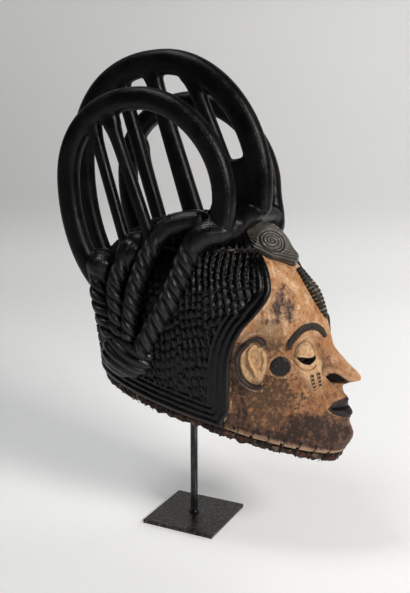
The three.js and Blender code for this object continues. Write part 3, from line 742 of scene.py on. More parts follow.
def black_steel():
    """Brushed and blackened steel with rubbed edges and pale scratches."""
    material, tree, shader = fresh("black_steel")
    brushed = spots(tree, 260.0, 3.0, stretch=(1, 1, 0.06))
    clouds = spots(tree, 60.0, 4.0)
    wear = placed(tree, WEAR, {"Height": kept(tree, "worn"), "Reach": 0.12, "Patches": 120.0})
    colour = blended(tree, clouds, (0.4, 0.65), paint(22, 22, 25), paint(44, 43, 46))
    rubbed = times(tree, wear["Worn"], ramp(tree, brushed, 0.4, 0.65))
    colour = coated(
        tree, mixed(tree, rubbed, colour, paint(150, 140, 128)),
        (brushed, 0.5, 0.62, 0.7, (112, 102, 90)),
        (spots(tree, 640.0, 4.0, rough=0.7), 0.62, 0.68, 0.7, (158, 148, 136)),
    )
    rough = ramp(tree, brushed, 0.3, 0.7, 0.28, 0.46)
    normal = dents(tree, brushed, 0.15, 0.0004)
    feed(tree, shader, color=colour, roughness=rough, metallic=0.55, normal=normal)
    return material


FACE_WOOD = face_wood()
RAW_WOOD = raw_wood()
# Tint, roughness, reach and share of the wear, and the tint of what is worn
HAIR_WOOD = black_wood("hair_wood", paint(8, 7, 8), 0.22, 1.1, 0.3, paint(78, 76, 76), 0.2)
TRESS_WOOD = black_wood("tress_wood", paint(11, 10, 11), 0.26, 1.2, 0.4, paint(92, 88, 86), 0.34,
                        combed=True, cut_tint=paint(5, 4, 5))
HOOP_WOOD = black_wood("hoop_wood", paint(8, 7, 9), 0.36, 1.4, 0.25, paint(84, 76, 70), 0.2, edge_lines)
EAR_WOOD = black_wood("ear_wood", paint(56, 40, 38), 0.42, 0.6, 0.9, paint(176, 138, 122))
BROW_WOOD = black_wood("brow_wood", paint(20, 17, 15), 0.55, 0.45, 0.4, paint(112, 96, 82),
                       lines=hatched(BROW_PITCH, 0.6))
DISC_WOOD = black_wood("disc_wood", paint(26, 23, 22), 0.55, 0.4, 0.5, paint(86, 74, 66))
TONGUE_WOOD = black_wood("tongue_wood", paint(96, 92, 86), 0.42, 0.5, 0.8, paint(158, 152, 144),
                         cut_tint=paint(18, 15, 14))
RIDGE_WOOD = black_wood("ridge_wood", paint(38, 33, 31), 0.5, 0.6, 0.4, paint(158, 146, 124),
                        lines=hatched(RIDGE_PITCH, 0.9))
BEAD_WOOD = bead_wood()
CLOTH = bound_cloth()
THREAD = dark_thread()
STEEL = black_steel()


# The face

# The middle of the face seen from the side: height and distance in front of the rod
PROFILE = [
    (120, 193), (128.3, 198.8), (136, 206), (143.2, 210.6), (151.1, 212.8), (158.2, 210.1), (164, 207.4),
    (170.4, 207.8), (175.6, 209.3), (179, 207.8), (183.4, 204.5), (188.4, 203.2), (194.7, 203.9),
    (199.2, 200.7), (203.8, 198.1), (208.7, 197.9), (211.6, 200.8), (214.3, 206.8), (216.4, 212.8),
    (218.4, 218.7), (221.6, 219.8), (225.1, 218.5), (229.9, 213.5), (234.6, 207.3), (239.9, 201),
    (245.2, 194.8), (250.5, 188.5), (257.1, 182.6), (269, 180.2), (287, 176.5), (297, 170.5), (309.5, 161),
    (319, 154), (345, 142),
]
# Behind and above these the middle of the face is bare skin
FACE_BACK_Y, FACE_TOP_Z = -110.0, 352.0
# Half width of what stands out in the middle of the face, by height
MIDDLE_WIDTHS = [
    (120, 34), (140, 32), (151, 31), (164, 28), (172, 28), (188, 28), (196, 26), (201, 22), (206, 16),
    (210, 11), (215, 9.5), (219, 12), (223, 17), (226.5, 20.5), (231, 20.5), (238, 18), (247, 14.5),
    (258, 11), (345, 9),
]
# Stitch holes over the rim
RIM_HOLES = [
    (67.3, -87.6, 160.5), (62.2, -107.4, 152.1), (57.1, -124.5, 145.8), (51.7, -141.3, 144.3),
    (44, -158.5, 139.7), (33.7, -174.9, 133.8), (22.4, -189.7, 132.4),
]
# Broad swellings of the cheeks and the forehead: place across, height, both widths and how far out
SWELLS = [(34, 254, 19, 16, -7), (0, 258, 14, 16, 3), (48, 218, 20, 20, 4), (44, 178, 16, 16, -3)]
# From the front, across and up: the line of the mouth, the nostril and the borders of the lips
MOUTH_Z, MOUTH_CORNER_Z, MOUTH_HALF = 184.0, 185.6, 24.0
NOSTRIL = [(2.5, 213), (9, 213.2), (12, 215.5), (15.5, 219), (19, 222.8), (20, 228.2), (18, 229.3),
           (15.5, 227), (12.5, 223.2), (9, 219.5), (5, 216.3)]
LIP_TOP = [(0, 196.8), (2.5, 196.6), (7, 195.5), (11.5, 194.7), (17.5, 193), (21, 190), (24, 186)]
LIP_LOW = [(0, 172.6), (4.5, 173), (10.5, 174.4), (15.5, 176.2), (19.5, 178.6), (22, 181.2), (24, 184.8)]
# Place of the eye seen from above, and how far it is turned to the side
EYE = np.array([35.0, -160.0])
EYE_TURN = 0.5
# Straight on to the eye: the clay round it, the slit, and the creases over and under the ball
CLAY = [(10.3, 268.2), (2.5, 274.4), (-7.2, 275.6), (-15.4, 267.5), (-20.1, 255.3), (-23.3, 243.2),
        (-28.1, 230.7), (-29, 216.7), (-22.5, 205), (-12.7, 194.5), (-3.3, 203.8), (4.7, 218.9),
        (11, 235.8), (15.9, 246.5), (14.3, 259.2)]
SLIT = [(10.6, 249.9), (5.4, 249.5), (-0.6, 248.1), (-7.4, 248.2), (-13.8, 251.2), (-14.2, 247.4),
        (-9.6, 244.2), (-2.6, 241.4), (3.4, 242.6), (8, 246)]
LID_CREASE = [(11.6, 249), (11.4, 257.5), (7.4, 264.4), (-0.7, 268.4), (-9.2, 265), (-14.6, 256.6),
              (-15, 249)]
LOWER_LID = [(14.8, 246.5), (9.7, 239.2), (3.2, 234.1), (-4.2, 234.5), (-12.8, 238)]
LID_MIDDLE, LID_MIDDLE_Z, LID_SPLIT_Z = -1.2, 249.5, 248.3
# From the side, depth and height: stains, the ear and the disc on the temple
FOREHEAD_STAIN = [(-134, 334), (-151, 314), (-156, 293), (-143, 286), (-133, 292), (-122, 300), (-126, 320)]
JAW_STAIN = [(-136, 158), (-151, 178), (-171, 184), (-194, 174), (-212, 168), (-216, 152), (-206, 134),
             (-173, 143), (-150, 149)]
EAR_CENTRE, EAR_SIZE = np.array([-111.0, 245.0]), np.array([15.5, 28.5])
DISC_Y, DISC_Z, DISC_RADIUS = -141.0, 240.0, 11.8
# Middle lines of the ear's rim and of the brow
HELIX = [
    (67.3, -126.7, 266.7), (69, -122.4, 272.5), (71.1, -117.1, 274.7), (73.8, -109.6, 272.1),
    (75.5, -104.3, 266), (77.1, -98.8, 259.8), (77.8, -95.4, 252.5), (77.7, -94.8, 242.9), (77, -96.5, 233.3),
    (75.8, -99.8, 225.1), (73.9, -105.3, 219.3), (71.5, -113.1, 214.9), (69.1, -120.8, 215.3),
    (68, -125.3, 220.4),
]
BROW = [
    (52.1, -148.9, 259.8), (50.1, -150.4, 268), (44.8, -155.6, 276.5), (38.5, -160.4, 282.6),
    (31.3, -165.1, 284.2), (22.1, -170, 283), (12.4, -174.3, 276.5), (7.4, -177.3, 268),
]


def eye_place(points):
    """Places as seen straight on to the eye: across and up."""
    beside, behind = (one_side(points)[:, :2] - EYE).T
    across = beside * math.cos(EYE_TURN) + behind * math.sin(EYE_TURN)
    return np.stack([across, points[:, 2]], -1)


def face_relief(points):
    """How far the carving stands out of the bare skin, the marks of the face's colours, and its painted
    shade.
    """
    near = one_side(points)
    x, y, z = near.T
    side, seen, front = near[:, 1:], eye_place(points), -y > 120
    swelling = sum(out * mound(x, z, at_x, at_z, wide, high) for at_x, at_z, wide, high, out in SWELLS)
    rise = swelling * eased(110, 140, -y)

    # the eye: the upper and lower half of the ball, its crease and the lower lid
    from_middle, above_middle = seen[:, 0] - LID_MIDDLE, z - LID_MIDDLE_Z
    upper = np.clip(1 - (from_middle / 13.6) ** 2 - (above_middle / 17.5) ** 2, 0, 1) ** 0.5
    lower = np.clip(1 - (from_middle / 15.5) ** 2 - (above_middle / 14.5) ** 2, 0, 1) ** 0.5
    rise = rise + front * np.where(z > LID_SPLIT_Z, 8.5 * upper, 4.5 * lower)
    crease = np.abs(inside(seen, LID_CREASE))
    rise = rise - front * 0.35 * faded(0, 2.2, crease) * (z > 250)
    under, _ = reach_to(seen, drawn(LOWER_LID, 30))
    rise = rise - front * 0.7 * faded(0.3, 1.8, under)

    # the hollow of the ear, the moulding over the rim and its holes
    ear_out = np.linalg.norm((side - EAR_CENTRE) / EAR_SIZE, axis=1)
    rise = rise + 3.4 * faded(0.75, 1.12, ear_out) - 2.0 * faded(0.2, 0.8, ear_out)
    above_rim = (z - rim_height(y)) * math.cos(RIM_TILT)
    before_hair = eased(80, 96, -y)
    moulding = before_hair * faded(4.2, 6.2, above_rim)
    rise = rise + 1.6 * moulding - 0.8 * before_hair * nearness(above_rim, 7.2, 0, 1.5)
    holes = np.min([np.linalg.norm(near - hole, axis=1) for hole in RIM_HOLES], axis=0)
    rise = rise - 1.2 * faded(0.8, 2.2, holes)

    # clay round the eye and in the ear, stains, and the warmer forehead and nose
    clay = np.clip(0.34 + inside(seen, CLAY) / 10, 0, 0.95) * front * (1 - 0.55 * eased(236, 214, z))
    clay = np.maximum(clay, np.clip(0.5 + (1 - ear_out) * 3, 0, 1))
    stain = np.max([
        np.clip(0.26 + inside(side, FOREHEAD_STAIN) / 20, 0, 0.62),
        0.85 * mound(y, z, -131, 293, 11, 6),
        np.clip(0.4 + inside(side, JAW_STAIN) / 18, 0, 0.9),
        0.8 * nearness(above_rim, 10, 3, 10) * eased(60, 100, -y),
        0.65 * (z < 268) * faded(100, 110, -y),
    ], axis=0)
    warm = np.maximum(eased(262, 282, z), 0.85 * faded(8, 16, x) * eased(205, 216, z))

    # scrapes round the disc, the ear, the brow and along the hair line
    from_ear, _ = reach_to(side, drawn(np.array(HELIX)[:, 1:], 40))
    from_brow, _ = reach_to(near, drawn(BROW, 40))
    hair_edge = [(head_x(at_y, at_z, 0), at_y, at_z) for at_y, at_z in drawn(HAIR_LINE, 60)]
    from_hair, _ = reach_to(near, np.array(hair_edge))
    from_disc = np.hypot(y - DISC_Y, z - DISC_Z)
    scrape = np.max([
        0.9 * nearness(from_disc, 12.8, 0.3, 1.3),
        0.8 * nearness(from_ear, 4.6, 0.8, 2.4) * (ear_out > 0.95) * (y > -123),
        0.55 * nearness(from_brow, 5.6, 0.6, 2.4) * (z > 262),
        0.7 * faded(0.5, 2.5, from_hair),
    ], axis=0)
    # painted shade: dark paint in and round the eye slits, in the lid crease, under the lower lid and in the
    # stitch holes
    dark = np.max([
        front * np.clip(0.9 + inside(seen, SLIT) / 2, 0, 1),
        front * 0.1 * faded(0.4, 2.6, under),
        front * 0.06 * faded(0.2, 3.0, crease) * (z > 250),
        faded(1.2, 2.4, holes),
    ], axis=0)
    smudge = np.max([mound(y, z, -128, 205, 24, 26), 1.3 * mound(y, z, -127, 275, 13, 14),
                     0.9 * eased(188, 168, z)], axis=0)
    return rise, {"clay": clay, "stain": stain, "warm": warm, "dark": dark, "pale": moulding,
                  "scrape": scrape, "smudge": smudge}


def middle_relief(points):
    """How far the nose, lips and chin push the skin forward, with the painted shade in the nostrils, under
    the nose and along the mouth, and the lips' colour.
    """
    x, z = np.abs(points[:, 0]), points[:, 2]
    corner = np.clip(x / MOUTH_HALF, 0, 1.3) ** 1.6
    line_z = MOUTH_Z + (MOUTH_CORNER_Z - MOUTH_Z) * corner
    from_line = np.abs(z - line_z)
    narrowing = 1 + 1.5 * np.clip(corner, 0, 1)
    spread = z + faded(12, 24, from_line) * (MOUTH_Z + (z - line_z) * narrowing - z)
    skin = flow(z, HEAD_LEVELS[:, 0], HEAD_LEVELS[:, 1]) + HEAD_CENTRE_Y
    skin = skin * dome_share(z, *FACE_DOME, CROWN_Z) - HEAD_CENTRE_Y
    stand = flow(spread, *np.array(PROFILE).T) - skin
    across = x / flow(z, *np.array(MIDDLE_WIDTHS).T)
    slope = 0.35 + 0.45 * eased(216, 228, z)
    tent = (1 - slope * (np.sqrt(across ** 2 + 0.012) - 0.11)) * faded(0.84, 1.06, across)
    nose = eased(207, 214, z) * faded(250, 268, z)
    forward = stand * (nose * tent + (1 - nose) * bell(across)) * faded(335, 350, z)

    # painted shade along the mouth's parting
    mouth = faded(0.5, 2.1, from_line) * faded(19, 22, x)
    painted_shade_between_lips = faded(0.9, 2.4, from_line) * faded(20, 23, x)
    lip_top, lip_low = [flow(np.minimum(x, MOUTH_HALF), *np.array(line).T) for line in (LIP_TOP, LIP_LOW)]
    edge = np.minimum(lip_top - z, z - lip_low)
    edge = np.where(x > MOUTH_HALF, -np.hypot(x - MOUTH_HALF, from_line), edge)
    lips = np.clip(0.5 + edge / 1.8, 0, 1)
    full = np.clip(edge / 4, 0, 1) * (1 - mouth)
    lip_border = 0.8 * np.exp(-((edge + 0.6) / 1.1) ** 2) * faded(20, 26, x)
    forward = forward - 3.4 * mouth + 1.5 * eased(0, 1, full) + lip_border

    nostril = eased(-0.6, 1.2, inside(np.column_stack([x, z]), NOSTRIL))
    wing = mound(x, z, 17, 231.5, 3.8, 3.6)
    wing_round = np.hypot(x - 12.5, (z - 226) * 0.9)
    crease = np.exp(-((wing_round - 11) / 1.6) ** 2) * (z > 226) * (x > 9)
    forward = forward - 4.5 * nostril * eased(5, 10, x) + 3.4 * wing - 1.2 * crease
    # painted shade: dark paint in the nostrils, under the nose, in the wing's crease, along the mouth and
    # between the lips
    painted_shade_under_nose = faded(9, 15, x) * np.exp(-((z - 209) / 3.6) ** 2)
    nostril_painted_shade = nostril * (0.62 + 0.38 * eased(8, 15, x))
    dark = np.max([mouth, nostril_painted_shade, 0.3 * crease * (x > 15), 0.34 * painted_shade_under_nose, painted_shade_between_lips], axis=0)
    return forward, dark, lips


def carved_head():
    """The hollow shell of the head with the face, the ears' hollows and the moulding over the rim."""
    bm = blank("clay", "stain", "warm", "dark", "pale", "lips", "scrape", "smudge", "within")
    # columns on the face's half and behind it, and rows from the crown over the rim to the inner crown
    dense, coarse, top_rows, face_rows, jaw_rows, lip_rows, inner_rows = 122, 26, 10, 112, 118, 3, 24
    # how far round from the middle of the face the columns stand close
    dense_mm = 152
    arc = np.linspace(0, math.pi, 4001)
    gone = gone_along(head_point(arc, np.full(len(arc), 245.0), 0))
    round_mm = [np.linspace(0, dense_mm, dense + 1), np.linspace(dense_mm, gone[-1], coarse + 1)[1:]]
    half_turn = np.interp(np.concatenate(round_mm), gone, arc)
    columns = np.concatenate([half_turn, TURN - half_turn[-2::-1]])
    rows = top_rows + face_rows + jaw_rows + lip_rows + inner_rows
    verts, u, v = grid(bm, len(columns) - 1, rows)
    angle = columns[np.rint(u * (len(columns) - 1)).astype(int)]
    row = np.rint(v * rows).astype(int)

    outer_last = top_rows + face_rows + jaw_rows
    swing = np.interp(row, [0, top_rows, top_rows + face_rows], [math.pi / 2, 0.9, 0])
    low_share = np.clip((row - top_rows - face_rows) / jaw_rows, 0, 1)
    inner_first = outer_last + lip_rows
    up_share = np.clip((row - inner_first) / inner_rows, 0, 1)
    offset = np.interp(row, [outer_last, inner_first], [0, -WALL])
    z = np.where(low_share > 0, 0, FOREHEAD_START_Z + (CROWN_Z - FOREHEAD_START_Z) * np.sin(swing))
    rim = rim_height(np.full(len(verts), -100.0))
    for _ in range(RIM_STEPS):
        rim = rim_height(head_point(angle, rim, offset)[:, 1])
    z = np.where(low_share > 0, FOREHEAD_START_Z + (rim - FOREHEAD_START_Z) * low_share, z)
    z = np.where(row >= inner_first, rim + (CROWN_Z - WALL - rim) * np.sin(up_share * math.pi / 2), z)
    points = head_point(angle, z, offset)
    pole = (row == 0) | (row == rows)
    points[pole] = np.stack([0 * z, HEAD_CENTRE_Y + 0 * z, z], -1)[pole]

    outer = row <= outer_last
    skin = points[outer]
    rise, colours = face_relief(skin)
    forward, dark, lips = middle_relief(skin)
    front = (skin[:, 1] < FACE_BACK_Y) & (skin[:, 2] < FACE_TOP_Z)
    moved = skin + head_out(skin, 0) * rise[:, None]
    moved[:, 1] -= np.where(front, forward, 0)
    # the lowest ring stays on the rim's plane
    moved[:, 2] = np.maximum(moved[:, 2], rim_height(moved[:, 1]))
    points[outer] = moved
    # painted shade of the nose, nostrils and mouth joins the painted shade of the eyes and holes
    colours["dark"] = np.maximum(colours["dark"], np.where(front, dark, 0))
    colours["lips"] = np.where(front, lips, 0)
    for name, values in colours.items():
        whole = np.zeros(len(verts))
        whole[outer] = values
        mark(bm, verts, **{name: whole})
    mark(bm, verts, within=1.0 * (row > outer_last + 1))
    move(verts, points)
    layer = bm.verts.layers.float["within"]
    for face in bm.faces:
        face.material_index = int(min(v[layer] for v in face.verts) > 0.5)
    piece = finished("carved_head", bm, "carved_wood", FACE_WOOD, RAW_WOOD)
    mark_height(cut_slits(piece), 14)


def cut_slits(piece):
    """Cuts the half-moon slits that the wearer looks through, right through the wall."""
    bm = bmesh.new()
    corners, before, through = 48, 45, 75
    outline = drawn(SLIT + SLIT[:1], corners + 1)[:-1]
    straight = np.array([math.sin(EYE_TURN), -math.cos(EYE_TURN), 0.0])
    level = np.array([math.cos(EYE_TURN), math.sin(EYE_TURN), 0.0])
    ring = (*EYE, 0) + outline[:, :1] * level + outline[:, 1:] * UPWARDS
    for side in (-1, 1):
        verts = bmesh.ops.create_circle(bm, cap_ends=True, segments=corners, radius=1)["verts"]
        move(verts, (ring - before * straight) * (side, 1, 1) * MM)
        cap = [f for f in bm.faces if all(v in verts for v in f.verts)]
        far = bmesh.ops.extrude_face_region(bm, geom=cap)["geom"]
        far = [g for g in far if isinstance(g, bmesh.types.BMVert)]
        bmesh.ops.translate(bm, vec=Vector(straight * (side, 1, 1) * through * MM), verts=far)
    bmesh.ops.recalc_face_normals(bm, faces=bm.faces)
    cutter = made_object("slits", bm, smooth=False)
    slits = piece.modifiers.new("slits", "BOOLEAN")
    slits.operation, slits.object, slits.solver = "DIFFERENCE", cutter, "EXACT"
    mesh = settled(piece)
    bpy.data.objects.remove(cutter)
    skin = mesh_points(mesh)
    # painted shade: the slits' cut walls and their edges are painted dark
    dark = np.empty(len(skin), np.float32)
    mesh.attributes["dark"].data.foreach_get("value", dark)
    dark[(inside(eye_place(skin), SLIT) > -0.5) & (skin[:, 1] < -100)] = 1
    mark_mesh(mesh, "dark", dark)
    return mesh


# The hair

# How much of a tress is its plain root, half width at the root and below, and its line
TRESSES = [
    (0.3, 15, 12.8, [
        (62, -84, 394), (67, -72, 394), (76, -55, 390), (82, -43, 379), (87, -35, 361), (89, -28, 342),
        (91, -21, 327), (92, -15, 313), (92, -7, 299), (92, 1, 285), (92, 10, 271), (91, 19, 255),
        (88, 28, 240),
    ]),
    (0.4, 12.5, 10.8, [
        (56, -48, 402), (60, -39, 403), (66, -21, 401), (72, -4, 394), (79, 7, 382), (85, 15, 366),
        (88, 22, 351), (90, 27, 335), (91, 33, 318), (91, 37, 298), (90, 40, 277), (86, 41, 255),
    ]),
    (0.26, 19, 11, [
        (56, 42, 368), (68, 45, 364), (80, 51, 352), (87, 57, 335), (89, 60, 317), (89, 59, 301),
        (88, 59, 285), (86, 58, 269), (83, 53, 250),
    ]),
    (0.3, 21, 12, [
        (58, 90, 352), (67, 90, 345), (75, 90, 331), (79, 89, 316), (81, 86, 301), (82, 80, 285),
        (83, 73, 268), (82, 67, 252),
    ]),
]
BUN_CENTRE, BUN_RADII = np.array([80.0, 48, 238]), np.array([19.0, 37, 30])


def length_around(angle, z):
    """How far round the hair each place lies from the middle of its side."""
    arc, floors = np.linspace(0, math.pi, 801), np.linspace(HAIR_LOW_Z, CROWN_Z + HAIR_RISE - 1, 40)
    floor = np.interp(z, floors, np.arange(len(floors)))
    below = np.minimum(floor.astype(int), len(floors) - 2)
    lengths = []
    for height in floors:
        path = head_point(arc, np.full(len(arc), height), HAIR_RISE)
        gone = gone_along(path)
        gone = gone - np.interp(HEAD_CENTRE_Y, path[:, 1], gone)
        lengths.append(np.interp(np.minimum(angle, TURN - angle), arc, gone))
    lengths, each = np.array(lengths), np.arange(len(z))
    return lengths[below, each] * (1 - floor + below) + lengths[below + 1, each] * (floor - below)


def border_relief(near, z):
    """Ridges along the hair line and the lower edge."""
    stretched = near / np.where(z > NARROW_Z, 1.17, 1.0)
    border = 2.6 * ridged(stretched, BORDER_PITCH) ** 0.55 - 1.9
    first_ridge = np.maximum(border, 0.7 - 1.2 * faded(0, 2.5, stretched))
    return np.where(stretched < BORDER_PITCH / 2, first_ridge, border)


def stud_relief(around, up, z):
    """Slanted leaf-shaped studs in upright chains."""
    sway = 1.6 * np.sin(around / 17.0 + up / 41.0) + 1.1 * np.sin(up / 13.0 - around / 29.0)
    column = (around - 0.1 * up + sway) / STUD_WIDE
    chain = np.floor(column)
    high = (up + 0.3 * around + sway) / STUD_HIGH + 0.5 * (chain % 2) + 0.3 * np.sin(chain * 2.4)
    stud_row = np.floor(high)
    in_row, in_column = high - stud_row, column - chain
    # a number between 0 and 1 for each stud, which looks like chance
    chance = np.sin(stud_row * 12.9898 + chain * 78.233) * 43758.5453 % 1
    narrow = 1 - 0.8 * np.abs(2 * in_row - 0.95) ** 2.2
    in_column = in_column - 0.44 + 0.16 * (chance - 0.5) - 0.22 * (in_row - 0.5)
    in_column = 0.5 + in_column / np.maximum(narrow, 0.08)
    stud = eased(0.02, 0.24, in_column) * faded(0.3, 1.0, in_column) * eased(0, 0.3, narrow)
    depth = (1.6 + 1.4 * eased(225, 265, z)) * (0.55 + 0.8 * chance)
    return depth * (1.25 * stud - 0.75)


def brick_relief(around, from_line):
    """Small blocks in rows along the hair line."""
    row = from_line / BRICK_HIGH
    brick = 1.0
    for at in (around / BRICK_WIDE + 0.5 * (np.floor(row) % 2), row):
        brick = brick * eased(0.05, 0.3, at % 1) * faded(0.72, 0.97, at % 1)
    return 1.7 * (brick - 0.6)


def between_tresses(y, z):
    """1 in the hollow between the first two tresses."""
    lines = [np.array(TRESSES[k][3][4:], float)[::-1] for k in (0, 1)]
    first, second = [np.interp(z, line[:, 2], line[:, 1]) for line in lines]
    return eased(0, 7, y - first) * eased(0, 7, second - y) * (z < 392) * eased(228, 245, z)


def carved_hair():
    """The raised cap of hair behind the hair line: ridges along its edges, and rows of slanted studs."""
    bm = blank("angle", "height")
    dense, coarse, side_rows, dome_rows = 180, 30, 76, 118
    # share of the way from the hair line to the nape on which the columns stand close
    dense_share = 0.63
    offset = HAIR_RISE
    line_y, line_z = np.array(HAIR_LINE, float).T
    order = np.argsort(line_z)
    crown = CROWN_Z + offset

    def line_angle(z):
        back = flow(np.clip(z, 160, HAIR_TOP_Z), line_z[order], line_y[order])
        return angle_at(back, z, offset) * faded(HAIR_TOP_Z - 0.8, HAIR_TOP_Z + 1.2, z)

    close, far = np.linspace(0, dense_share, dense + 1), np.linspace(dense_share, 1, coarse + 1)[1:]
    half = np.concatenate([close, far])
    shares = np.concatenate([half, 2 - half[-2::-1]]) / 2
    verts, u, v = grid(bm, len(shares) - 1, side_rows + dome_rows)
    share = shares[np.rint(u * (len(shares) - 1)).astype(int)]
    row = np.rint(v * (side_rows + dome_rows)).astype(int)
    swing = np.clip((row - side_rows) / dome_rows, 0, 1) * math.pi / 2
    level = HAIR_LOW_Z + (FOREHEAD_START_Z - HAIR_LOW_Z) * np.minimum(row / side_rows, 1)
    level = np.where(row > side_rows, FOREHEAD_START_Z + (crown - FOREHEAD_START_Z) * np.sin(swing), level)
    # the columns lean with the hair line, so their angles and heights are found step by step
    z = level.copy()
    for _ in range(12):
        start = line_angle(z)
        angle = start + (TURN - 2 * start) * share
        low = rim_height(head_point(angle, z, offset)[:, 1]) + 1.5
        share_up = (level - HAIR_LOW_Z) / (LEVEL_Z - HAIR_LOW_Z)
        z = np.where(level < LEVEL_Z, low + (LEVEL_Z - low) * share_up, level)
    points = head_point(angle, z, offset)
    out = head_out(points, offset)
    pole = row == side_rows + dome_rows
    points[pole] = (0, HEAD_CENTRE_Y, crown)
    out[pole] = (0, 0, 1)

    edge = [(head_x(y, z_at, offset), y, z_at) for y, z_at in drawn(HAIR_LINE, 90)]
    from_line, _ = reach_to(one_side(points), np.array(edge))
    from_rim = (z - low) * math.cos(RIM_TILT)
    near = np.minimum(from_line, np.where(z > NARROW_Z, np.inf, from_rim))
    border_wide = np.where(z > NARROW_Z, 17, 26.5)
    around = length_around(angle, z)
    up = np.where(z < FOREHEAD_START_Z, z, FOREHEAD_START_Z + 150 * swing)
    bricks = eased(HAIR_TOP_Z, HAIR_TOP_Z + 6, z) * eased(60, 75, -points[:, 1])
    lattice = stud_relief(around, up, z) * (1 - bricks) + bricks * brick_relief(around, from_line)
    inward = np.maximum(eased(-0.8, 0.8, near - border_wide), eased(HAIR_TOP_Z - 10, HAIR_TOP_Z - 2, z))
    rise = border_relief(near, z) * (1 - inward) + lattice * inward
    hollow = between_tresses(points[:, 1], z)
    rise = rise * (1 - 0.7 * hollow) - 4.5 * hollow
    front_groove = np.exp(-((z - HAIR_TOP_Z - 0.2) / 1.2) ** 2) * (points[:, 1] < -30)
    rise = rise - 1.5 * front_groove
    points = points + out * rise[:, None]
    low_ring = row == 0
    points[low_ring, 2] = low[low_ring]

    mark(bm, verts, angle=angle, height=z)
    move(verts, points)
    bmesh.ops.remove_doubles(bm, verts=bm.verts, dist=SEAM)

    # the edge turned in, and an inner skin within the wall, ring by ring up to the crown
    ring = [e for e in bm.edges if e.is_boundary]
    inner_offset = -5.0
    for lift in (0, 0.1, 0.22, 0.36, 0.5, 0.62, 0.73, 0.82, 0.89, 0.94, 0.975, 1):
        geometry = bmesh.ops.extrude_edge_only(bm, edges=ring)["geom"]
        verts = [g for g in geometry if isinstance(g, bmesh.types.BMVert)]
        ring = [g for g in geometry if isinstance(g, bmesh.types.BMEdge) and g.is_boundary]
        turned, low_z = marked(bm, verts, "angle", "height")
        z = low_z + (CROWN_Z - 6.0 - low_z) * np.sin(lift * math.pi / 2)
        inner = head_point(turned, z, inner_offset)
        if lift == 1:
            inner[:] = (0, HEAD_CENTRE_Y, CROWN_Z + inner_offset)
        move(verts, inner)
    finished("carved_hair", bm, "carved_wood", HAIR_WOOD, rounds=10)


# Tresses, bun and tongue

def tress(bm, side, root, root_half, twist_half, points):
    """One tress: plain and combed at its root, twisted below."""
    line = drawn(points, 160) * (side, 1, 1)
    length = gone_along(line)[-1]
    strands = 3

    def twisted(run):
        return eased(root * 0.75, root * 1.15, run / length)

    def strand_at(run, angle):
        return strands * angle - side * TURN * run / TWIST_PITCH

    def size(t):
        half = root_half + (twist_half - root_half) * eased(0.4 * root, 1.1 * root, t)
        half = half * (1 - 0.12 * t) * 1.08
        return half, half

    def carve(run, angle):
        from_top = np.arccos(np.cos(strand_at(run, angle))) / math.pi
        return 1 - twisted(run) * (0.08 * from_top ** 2 + 0.3 * eased(0.45, 0.95, from_top) - 0.02)

    verts = limb(bm, line, size, 42, 196, carve=carve)
    run, angle = marked(bm, verts, "run", "turn")
    along, twist = strand_at(run, angle), twisted(run)
    gap = twist * eased(0.5, 0.9, np.arccos(np.cos(along)) / math.pi)
    # the combed lines are straight at the root and follow the twisted strands below
    mark(bm, verts, strand=(1 - twist) * angle * 11 + twist * along * 3, cut=gap)


def bun(bm, side):
    """Coil of thick strands where the tresses meet over the nape."""
    centre = BUN_CENTRE * (side, 1, 1)
    verts, _, angle = globe(bm, 90, 70)
    p = places(verts)
    slanted = p * BUN_RADII @ (0, 0.5, -0.87)
    size = 0.86 + 0.17 * ridged(slanted, BUN_PITCH) ** 0.6
    move(verts, centre + p * BUN_RADII * size[:, None])
    mark(bm, verts, strand=slanted, run=slanted, turn=angle)


def carved_tresses():
    """Four tresses on each side of the head, with the bun that they meet in."""
    bm = blank("run", "turn", "strand", "cut")
    for side in (-1, 1):
        for measures in TRESSES:
            tress(bm, side, *measures)
        bun(bm, side)
    finished("carved_tresses", bm, "carved_wood", TRESS_WOOD, rounds=8)


TONGUE_LINE = [(0, -76, 381), (0, -98, 373), (0, -120, 361.5), (0, -138, 353.5)]
# Depth, and how much of its full height the crest has there
TONGUE_CREST = [(-142, 0.15), (-130, 0.42), (-121, 0.85), (-108, 1.0), (-98, 0.85), (-76, 0.7)]
# The coil on the tongue's side: its middle, its radius, and the ways along and up its plane
COIL_AT, COIL_RADIUS = np.array([20.0, -113.0, 379.6]), 14.4
COIL_ALONG, COIL_UP = np.array([-0.3, -0.953, 0.03]), np.array([-0.667, 0.267, 0.695])


